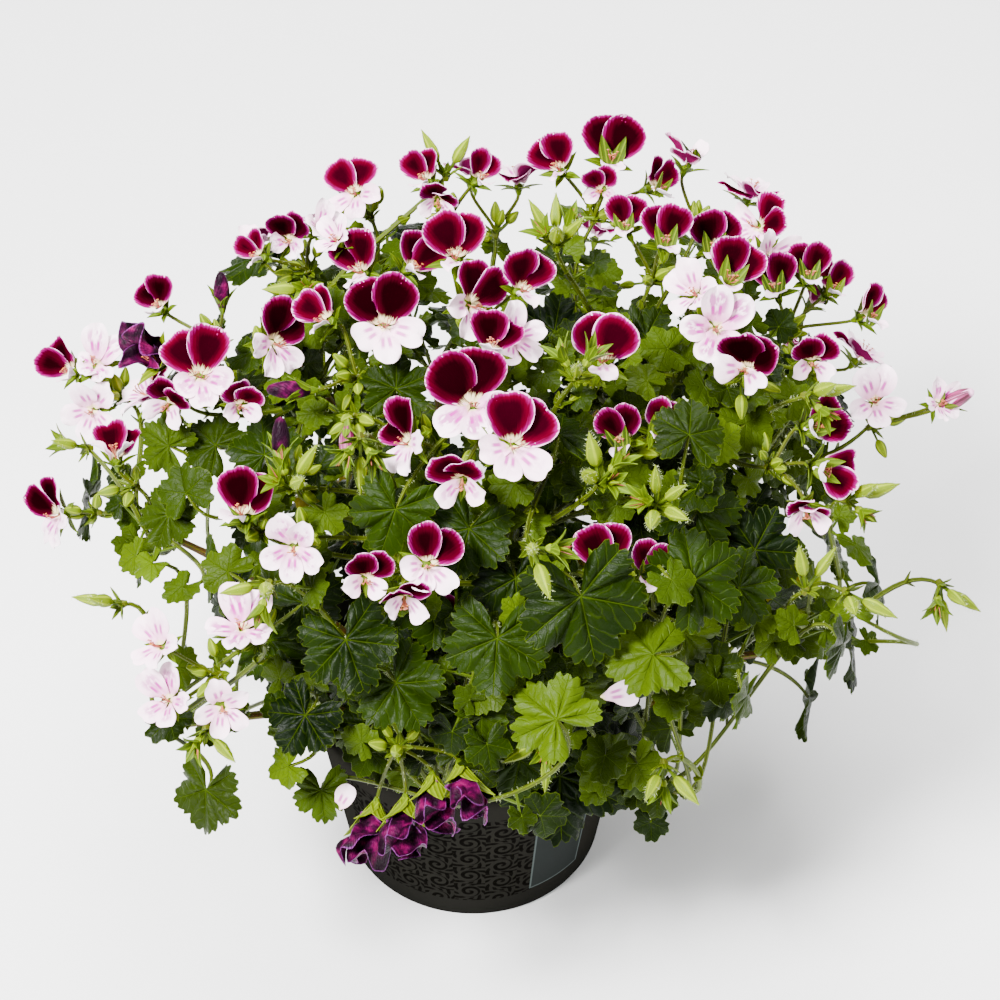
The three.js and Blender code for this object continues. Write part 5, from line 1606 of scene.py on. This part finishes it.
def put_leaf(piece, leaf, young):
    n, u, r = leaf["frame"]
    half = leaf["width"] * LEAF_HALF
    foot = leaf_foot(leaf)
    rays, rings = next(detail for width, *detail in DETAIL if leaf["width"] > width)
    angles = np.linspace(-LAST_ANGLE, LAST_ANGLE, rays)
    turns = np.radians(angles)
    lobe = np.clip(np.round(angles / LOBE_STEP), -2, 2)
    off = abs(angles - lobe * LOBE_STEP) / (LOBE_STEP / 2)
    reach = 1 - 0.05 * abs(lobe)
    inside = np.minimum(off, 1)
    smooth = reach * (1 - draw(0.2, 0.34) * inside**3.2)
    notch = np.maximum(abs(angles) - NOTCH_ANGLE, 0) / NOTCH_FADE
    smooth = smooth * (1 - 0.9 * notch**2)
    teeth = TEETH[np.arange(rays) % 3] + fine.normal(size=rays) * TOOTH_CHANCE
    wobble = 1 + 0.02 * np.sin(angles * 0.31 + draw(0, 6.28))
    top = 0.06 - 0.2 * reach * leaf["droop"]
    lift = top + (-0.1 - top) * inside**1.5
    wave = draw(0, 6.28, 3)
    sway = ((0.075 * np.sin(turns * 4 + wave[0]) + 0.05 * np.sin(turns * 9 + wave[1]))
            * (1.4 if young > 0.5 else 1))
    points, spots = [foot], [(0, 0, half)]
    for k in range(1, rings + 1):
        f = (k / rings) ** 0.85
        if k == rings - 1:
            f = 0.5 * (f + 1)
        toothed = 1 if k == rings else 0.35 if k == rings - 1 else 0
        outline = smooth * wobble * f * (1 + (teeth - 1) * toothed)
        x, y = np.sin(turns) * outline, np.cos(turns) * outline
        puff = 0.05 * np.sin(np.pi * inside) * math.sin(math.pi * min(f, 0.85))
        groove = -0.03 * np.exp(-((off / 0.2) ** 2)) * math.sin(math.pi * min(f, 0.9))
        height = lift * f**1.3 + puff + groove + sway * f**2.5
        points.append(foot + half * (r * x[:, None] + u * y[:, None] + n * height[:, None]))
        spots.append(np.stack([x, y, (1 - f) * smooth * half], axis=1))
    points = np.vstack(points)
    faces, rim = fan_faces(rays, rings)
    put_sheet(piece, points, np.broadcast_to(n, points.shape), faces, rim, LEAF_THICK, "leaf",
              np.vstack(spots), (draw(0, 0.8), young))


# %% [markdown]
# ## Stems
# Stems, stalks and petioles are round and a little thicker at their joints, where small leafy
# scales and young leaves sit. Tubes along the curves of the plan give them. Green umbels hang at
# the ends of some stalks, with ribbed buds on short pedicels.

# %% Stalks, joints and umbels
STEM_PARTS = 26
STALK_PARTS = 16
HAIRS_PER_MM = 1.3
SPENT_SHARE = 0.3


def put_joint(piece, line, k, tone):
    """Two leafy scales at a joint."""
    way = unit(line[min(k + 1, len(line) - 1)] - line[k - 1])
    side = unit(cross(way, fine.normal(size=3)))
    for turn in (side, -side):
        put_blade(piece, line[k], turn + way * 0.9, way - turn * 0.3, draw(4.5, 7.5), 2.2, 0.25,
                  "sepal", tone, 0.15)


def length_of(line):
    return sizes(np.diff(line, axis=0)).sum()


def put_stalk(piece, bends, start, end, sides, tone, joints):
    line = curve(bends, STALK_PARTS)
    knots = 1 + 0.12 * np.cos(np.linspace(0, 9.4, len(line)))
    radii = np.linspace(start, end, len(line)) * knots
    put_tube(piece, line, radii, sides, "stem", tone, 0.15)
    put_hairs(piece, line, end, int(HAIRS_PER_MM * length_of(line)), 1.4)
    for joint in joints:
        put_joint(piece, line, int(joint * STALK_PARTS), tone)


def put_umbel(piece, umbel, tone):
    hub = umbel["hub"]
    put_hub(piece, hub, umbel["way"], tone)
    for way, length in umbel["buds"]:
        line = hub + np.outer([0, 0.12, 0.25, 0.36], way) * length
        put_tube(piece, line, [0.9, 0.75, 0.75, 0.9], 6, "stem", tone)
        if fine.random() < SPENT_SHARE:
            put_spent_flower(piece, line[-1], way, 0.6 * length, tone)
            continue
        t = np.linspace(0, 1, 10)
        wide = BUD_RADIUS * draw(0.8, 1.12)
        radii = wide * np.interp(t, [0, 0.12, 0.35, 0.7, 0.9, 1], [0.35, 0.8, 1, 0.62, 0.2, 0.06])
        line = hub + np.outer(0.33 + 0.67 * t, way) * length
        put_tube(piece, line, radii, 15, "bud", tone)
        put_hairs(piece, line, radii, 50, 1.0)


# %% [markdown]
# ### Young leaves
# Between the large leaves a real plant is full of young ones. They are tried at random on every
# stem and stalk, and kept where the balls of the plan leave room, so none cuts a petal. The
# picture is empty below and beside the plant, so few or none are kept there.

# %% Seat the young leaves
YOUNG_TRIES = 9000
YOUNG_MOST = 740
YOUNG_BALL = 1.5
YOUNG_PLACES = ((0.1, 0), (0.5, 0), (0.9, 0), (0.45, 0.75), (0.45, -0.75), (-0.2, 0.6),
                (-0.2, -0.6), (0.75, 0.4), (0.75, -0.4))
DEEP = 0.6
SPARSE_LOSS = 0.7
EMPTY = [(0, 330, 735), (330, 500, 775), (660, 745, 735), (745, 1000, 655)]
SPARSE = [(0, 150, 330), (150, 250, 400), (850, 1000, 440)]


def crown_share(p):
    """0 in the middle of the crown, 1 on it."""
    return size((p - CROWN_MIDDLE) / CROWN_SIZE)


def in_empty_part(p):
    """Whether a point is under one of the parts: left edge, right edge and top row of each."""
    px, py = in_picture(p)
    sparse, empty = (any(left < px < right and py > top for left, right, top in parts)
                     for parts in (SPARSE, EMPTY))
    return sparse and fine.random() < SPARSE_LOSS or empty


perches = []
for stem in stems:
    perches.append((stem, curve(stem["bends"], 24)[5:]))
    perches += [(stem, curve(part["bends"], STALK_PARTS)[2:-2])
                for part in stem["pieces"] if "bends" in part]

lengths = np.array([length_of(line) for _, line in perches])
young_leaves = []
for pick in fine.choice(len(perches), YOUNG_TRIES, p=lengths / lengths.sum()):
    stem, line = perches[pick]
    start = line[fine.integers(len(line))]
    deep = crown_share(start) < DEEP
    width = draw(20, 26.9) if deep else draw(13, 24)
    way = unit(fine.normal(size=3) * 0.6 + outward(start) * 0.5 + (0, 0, 0.3))
    foot = start + way * draw(6, 20)
    n = unit(outward(foot) * 0.6 + TO_EYE * 0.5 + (0, 0, 0.3) + fine.normal(size=3) * 0.35)
    u = way - n * (way @ n)
    if size(u) < 0.3 or not 0.2 < crown_share(foot) < 0.93 or foot[2] < POT_HEIGHT + 4:
        continue
    if in_empty_part(foot) or in_empty_part(foot + way * 0.5 * width):
        continue
    u = unit(u)
    r = cross(u, n)
    half = width * LEAF_HALF
    balls = [ball(foot + u * half * a + r * half * b, YOUNG_BALL) for a, b in YOUNG_PLACES]
    if not is_clear([], balls):
        continue
    place(stem["name"], balls)
    young_leaves.append((stem["name"], start, way, foot, {
        "at": foot + u * half * LEAF_FOOT, "width": width, "droop": draw(0.2, 1), "deep": deep,
        "frame": (n, u, r)}))
    if len(young_leaves) == YOUNG_MOST:
        break
print("young leaves:", len(young_leaves))

# %% Petals that have fallen on leaves
FALLEN = [(613, 700, "lower", 15), (293, 683, "lower", 12), (345, 815, "lower", 12),
          (590, 655, "lower", 9), (460, 618, "upper", 9)]


def put_fallen(piece, leaf, px, py, shape, length):
    """A petal that lies on a leaf, on the side towards a pixel."""
    n = leaf["frame"][0]
    x, y = in_picture(leaf["at"])
    aside = SIDEWAYS * (px - x) * 0.5 + UPWARDS * (y - py) * 0.5
    aside -= n * (aside @ n)
    aside *= min(1, 0.3 * leaf["width"] / size(aside))
    flower = {"at": leaf["at"] + aside + n * 2, "frame": leaf["frame"], "scale": 1,
              "kind": "fallen"}
    petal = {"angle": draw(120, 240), "open": 86, "length": length}
    put_petal(piece, flower, petal, shape + "_petal", (fine.random(), 0.2), shape, 0.5 * length,
              2.2)


fallen = []
for px, py, shape, length in FALLEN:
    gaps = [math.dist(in_picture(leaf["at"]), (px, py)) for leaf in seats]
    fallen.append((seats[int(np.argmin(gaps))], px, py, shape, length))
print("fallen petals:", len(fallen))

# %% Draw every leafy stem
STEM_FINISHES = ["leaf", "stem", "sepal", "bud", "stamen", "hair", "lower_petal", "upper_petal",
                 "faded_petal"]
LIGHTER = [(600, 700, 600, 700), (490, 600, 680, 770)]
LONE_LEAF = (240, 760)
LONE_YOUNG = 0.12
YELLOW = 2
YELLOW_SHARE = 0.05


def put_young_leaf(piece, start, way, foot, leaf):
    reach = size(foot - start)
    n = leaf["frame"][0]
    line = curve((start, start + way * 0.4 * reach, foot - n * 0.3 * reach, foot), 4)
    put_tube(piece, line, np.linspace(0.75, 0.6, 5), 4, "stem", 0.6)
    age = fine.random()
    deep = YELLOW if age < YELLOW_SHARE else 0
    put_leaf(piece, leaf, deep if leaf["deep"] else 0.5 * age**1.5)


def put_seated_leaf(piece, part, tone):
    """A leaf of the plan on its petiole. Small leaves are young, and so are two in front."""
    leaf = part["leaf"]
    young = np.clip((33 - leaf["width"]) / 18, 0, 1) * draw(0.2, 1)
    px, py = in_picture(leaf["at"])
    if any(left < px < right and top < py < low for left, right, top, low in LIGHTER):
        young = max(young, draw(0.25, 0.45))
    put_stalk(piece, part["bends"], 1.15, 0.85, 7, tone, [0.12])
    lone = px < LONE_LEAF[0] and py > LONE_LEAF[1]
    put_leaf(piece, leaf, LONE_YOUNG if lone else young)
    for seat, *petal in fallen:
        if seat is leaf:
            put_fallen(piece, leaf, *petal)


for stem in stems:
    piece = Piece(STEM_FINISHES)
    foot = stem["bends"][0]
    points = curve(stem["bends"], STEM_PARTS)
    line = np.vstack([foot - (0, 0, STEM_SINK), foot - (0, 0, STEM_SINK / 2), points])
    radii = np.linspace(STEM_BASE_RADIUS, STEM_TIP_RADIUS, len(line))
    radii = radii * (1 + 0.1 * (np.sin(np.arange(len(line)) * 1.5) > 0.8))
    put_tube(piece, line, radii, 12, "stem", 0.15, 0.7)
    for k in range(6, len(line) - 1, 3):
        put_joint(piece, line, k, 0.5)
    for part in stem["pieces"]:
        tone = draw(0.2, 0.9)
        if part["form"] == "leaf":
            put_seated_leaf(piece, part, tone)
        elif part["form"] == "stalk":
            put_stalk(piece, part["bends"], 1.35, 1.0, 8, tone, [0.1, 0.45, 0.75])
        else:
            put_umbel(piece, part, tone)
    for owner, *young_leaf in young_leaves:
        if owner == stem["name"]:
            put_young_leaf(piece, *young_leaf)
    finish_piece(piece.build("leaves_" + stem["name"][-2:]), stem["name"], "foliage")
print("leafy stems drawn:", len(stems))

# %% [markdown]
# ## Pot and soil
# The pot is thin moulded plastic, dark taupe, with a rolled lip and four drain holes. It is turned
# from a profile, like a pot on a wheel, and the holes are cut with a boolean. Printed on it is a
# band of scrolls, and beside that a bare panel with a thin line round it.

# %% Turn a profile
def put_turned(piece, profile, sides, finish):
    """A round body from (radius, height) points, which begin and end on its axis."""
    angles = np.linspace(0, TURN, sides, endpoint=False)
    rings = [np.stack([radius * np.cos(angles), radius * np.sin(angles), np.full(sides, z)], axis=1)
             for radius, z in profile[1:-1]]
    ends = [(0, 0, profile[0][1]), (0, 0, profile[-1][1])]
    piece.put(np.vstack([*rings, *ends]).astype(float), tube_faces(len(rings), sides), finish,
              (0, 0, 0), (0, 1, 0))


# %% Scroll print and plastic
PRINT_RADIUS = 66.0
PRINT_LOW = 0.014
PRINT_HIGH = 0.086
PRINT_TURN = -104
PRINT_HALF = 40
SCROLL_SIZE = 15.0
LABEL_TURN = -52
LABEL_HALF = 0.0145
LABEL_MIDDLE = 0.050
LABEL_UP = 0.034

g = Effect("Scroll print", {"Place": None}, ["Print"])
x, y, z = g.split(g.given[0])
turn = y.math("ARCTAN2", x)
wide = turn * (PRINT_RADIUS / SCROLL_SIZE)
high = z * (1000 / SCROLL_SIZE)
high = high + wide.math("ROUND") * 0.5
u = wide - wide.math("ROUND")
v = high - high.math("ROUND")
hand = wide.math("ROUND").math("FLOORED_MODULO", 2.0) * 2.0 - 1.0
far = (u * u + v * v).math("SQRT")
around = v.math("ARCTAN2", u) * hand
curl = (around + far * 24.0).sine().fade(-0.1, 0.15) * far.fade(0.36, 0.33)
plume = (around * 9.0 + far * 19.0).sine().fade(-0.15, 0.1)
shape = curl.most(plume * (far.fade(0.37, 0.40) * far.fade(0.72, 0.66)))
shape = shape * (z.fade(PRINT_LOW, PRINT_LOW + 0.0004) * z.fade(PRINT_HIGH, PRINT_HIGH - 0.0004))
off = abs(turn - rad(PRINT_TURN))
g.put_out(shape * off.fade(rad(PRINT_HALF), rad(PRINT_HALF - 0.4)))

g = Finish("pot_plastic", 60.0, 0.16)
x, y, z = g.split(g.here)
[scroll] = g.use("Scroll print", {"Place": g.here})
off = abs(y.math("ARCTAN2", x) - rad(LABEL_TURN)) * (PRINT_RADIUS * MM)
edge = (off - LABEL_HALF).most(abs(z - LABEL_MIDDLE) - LABEL_UP)
line = abs(edge).fade(0.0006, 0.0003)
# Pale mottling over the wall, which fades out over the lowest 3 cm, so the wall is darker towards the bottom
pale_mottle = g.noise(g.here, 25.0, 4.0) * z.fade(0.0, 0.03)
colour = g.mix(pale_mottle * 0.25, (0.0108, 0.0107, 0.0092), (0.0205, 0.0175, 0.0125))
worn = g.noise(g.here, 700.0, 2.0).scaled(-0.5, 1.1)
colour = g.mix(scroll * worn, colour, (0.0012, 0.001, 0.0008))
colour = g.mix(edge.fade(0.0, -0.0003), colour, (0.0175, 0.0200, 0.0190))
colour = g.mix(line * 0.7, colour, (0.075, 0.092, 0.088))
g.paint(colour, rough=g.grain.scaled(0.2, 0.45), gloss=0.0)
g.bump(g.grain, 0.00015, 0.25)

# %% The pot
POT_FINE_SIDES = 160
DRAINS = 4
DRAIN_CIRCLE = 38
DRAIN_RADIUS = 4


def wall_radius(z):
    return POT_BASE_RADIUS + ((POT_TOP_RADIUS - POT_BASE_RADIUS) * z) / POT_HEIGHT


lip_foot = POT_HEIGHT - LIP_HEIGHT
lip_out = POT_TOP_RADIUS + LIP_REACH
pot_profile = [
    (0, 0), (POT_BASE_RADIUS - 1.2, 0), (POT_BASE_RADIUS - 0.3, 0.4),
    *[(wall_radius(z), z) for z in (1.6, 30, 60, lip_foot - 0.6)],
    (wall_radius(lip_foot) + 0.5, lip_foot), (lip_out - 0.6, lip_foot + 0.8),
    (lip_out, lip_foot + 1.6), (lip_out, POT_HEIGHT - 1.4), (lip_out - 0.5, POT_HEIGHT - 0.4),
    (lip_out - 1.4, POT_HEIGHT), (POT_TOP_RADIUS - 0.8, POT_HEIGHT),
    (POT_TOP_RADIUS - POT_WALL, POT_HEIGHT - 0.8),
    *[(wall_radius(z) - POT_WALL, z) for z in (90, 60, 30, POT_FLOOR + 1.5)],
    (wall_radius(POT_FLOOR) - POT_WALL - 1.5, POT_FLOOR), (0, POT_FLOOR)]
piece = Piece(["pot_plastic"])
put_turned(piece, pot_profile, POT_FINE_SIDES, "pot_plastic")
pot = piece.build("pot_fine")
drills = []
for k in range(DRAINS):
    angle = TURN * (k + 0.5) / DRAINS
    bpy.ops.mesh.primitive_cylinder_add(
        vertices=32, radius=DRAIN_RADIUS * MM, depth=0.01,
        location=(DRAIN_CIRCLE * math.cos(angle) * MM, DRAIN_CIRCLE * math.sin(angle) * MM, 0))
    drills.append(bpy.context.object)
    cut = pot.modifiers.new("drain", "BOOLEAN")
    cut.operation, cut.object = "DIFFERENCE", drills[-1]
bpy.context.view_layer.update()
drilled = bpy.data.meshes.new_from_object(pot.evaluated_get(bpy.context.evaluated_depsgraph_get()))
pot.modifiers.clear()
pot.data = drilled
for drill in drills:
    bpy.data.objects.remove(drill)
finish_piece(pot, "pot", "pot")
print("pot faces:", len(drilled.polygons))

# %% [markdown]
# ### Soil
# Peat soil is a dark crumbly mat. A height pattern makes the mat, and a few hundred loose crumbs
# lie on it, because a smooth surface would look like rubber.

# %% Soil and crumbs
CRUMBS = 420

g = Finish("peat", 180.0, 1.1)
clod = g.noise(g.here, 90.0, 5.0, 0.7)
g.paint(g.mix(clod.fade(0.35, 0.7), (0.0011, 0.0007, 0.0004), (0.0110, 0.0066, 0.0036)),
        rough=0.95, gloss=0.0)
g.bump(clod + g.grain, 0.0015, 0.9)


def soil_height(out):
    return SOIL_LEVEL + SOIL_CROWN * (1 - out / soil_edge)


piece = Piece(["peat"])
soil_edge = wall_radius(SOIL_LEVEL) - POT_WALL - 0.8
floor_edge = wall_radius(POT_FLOOR) - POT_WALL - 0.8
profile = [(0, POT_FLOOR + 0.4), (floor_edge, POT_FLOOR + 0.4), (soil_edge, SOIL_LEVEL - 1)]
profile += [(out, soil_height(out)) for out in np.linspace(soil_edge, 0, 26)]
put_turned(piece, profile, 96, "peat")
ground = piece.points[0]
top = ground[:, 2] > SOIL_LEVEL - 0.5
rough = sum(np.sin(ground[:, 0] * f + a) * np.sin(ground[:, 1] * f * 1.1 + b)
            for f, a, b in ((0.55, 1, 2), (1.1, 0.4, 3), (1.9, 2, 1)))
ground[top, 2] += 0.5 * rough[top]
for _ in range(CRUMBS):
    out = soil_edge * math.sqrt(draw(0, 0.94))
    turn = draw(0, 6.28)
    at = np.array([out * math.cos(turn), out * math.sin(turn), soil_height(out)])
    put_bead(piece, at, unit(fine.normal(size=3)), draw(1, 3.6), draw(0.5, 1.4), "peat")
finish_piece(piece.build("soil_fine"), "soil", "soil")

# %% [markdown]
# ## Floor and light
# The picture is cut out on white, lit softly from above. A pale floor and three large soft lamps
# give the same even light with shade between the leaves.

# %% Floor, lamps and sky
g = Finish("floor", 14.0, 0.03)
g.paint((0.86, 0.86, 0.86), rough=0.9)
bpy.ops.mesh.primitive_plane_add(size=12, location=(0, 0, 0))
floor = bpy.context.object
floor.name = "floor"
floor.data.materials.append(FINISHES["floor"])
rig.stage(floor)


def add_lamp(name, at, size_m, watts):
    """A round soft lamp that points at the middle of the plant."""
    lamp = bpy.data.lights.new(name, "AREA")
    lamp.shape, lamp.size, lamp.energy = "DISK", size_m, watts
    thing = bpy.data.objects.new(name, lamp)
    thing.location = at
    way = np.array((0, 0, 0.2)) - at
    thing.rotation_euler = (math.acos(-way[2] / size(way)), 0,
                            math.atan2(way[1], way[0]) - math.pi / 2)
    bpy.context.scene.collection.objects.link(thing)


add_lamp("key", (-0.7, -0.8, 1.7), 0.5, 172)
add_lamp("fill", (1.2, -1.0, 0.9), 1.2, 17)
add_lamp("top", (0.1, 0.5, 1.6), 1.0, 54)
world = bpy.data.worlds.new("sky")
world.use_nodes = True
sky = world.node_tree.nodes["Background"].inputs
sky["Color"].default_value = (1, 1, 1, 1)
sky["Strength"].default_value = 0.56
bpy.context.scene.world = world

# %% Sizes and finish
fine_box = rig.bounds()
with open("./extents.json", "w") as sizes:
    json.dump({"cad": [list(corner) for corner in cad_box],
               "fine": [list(corner) for corner in fine_box]}, sizes)
print("fine box:", [[round(v, 3) for v in corner] for corner in fine_box])
counts = {o.name: sum(len(p.vertices) - 2 for p in o.data.polygons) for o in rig.pieces()}
print("triangles in all:", sum(counts.values()), "largest:", max(counts.values()))
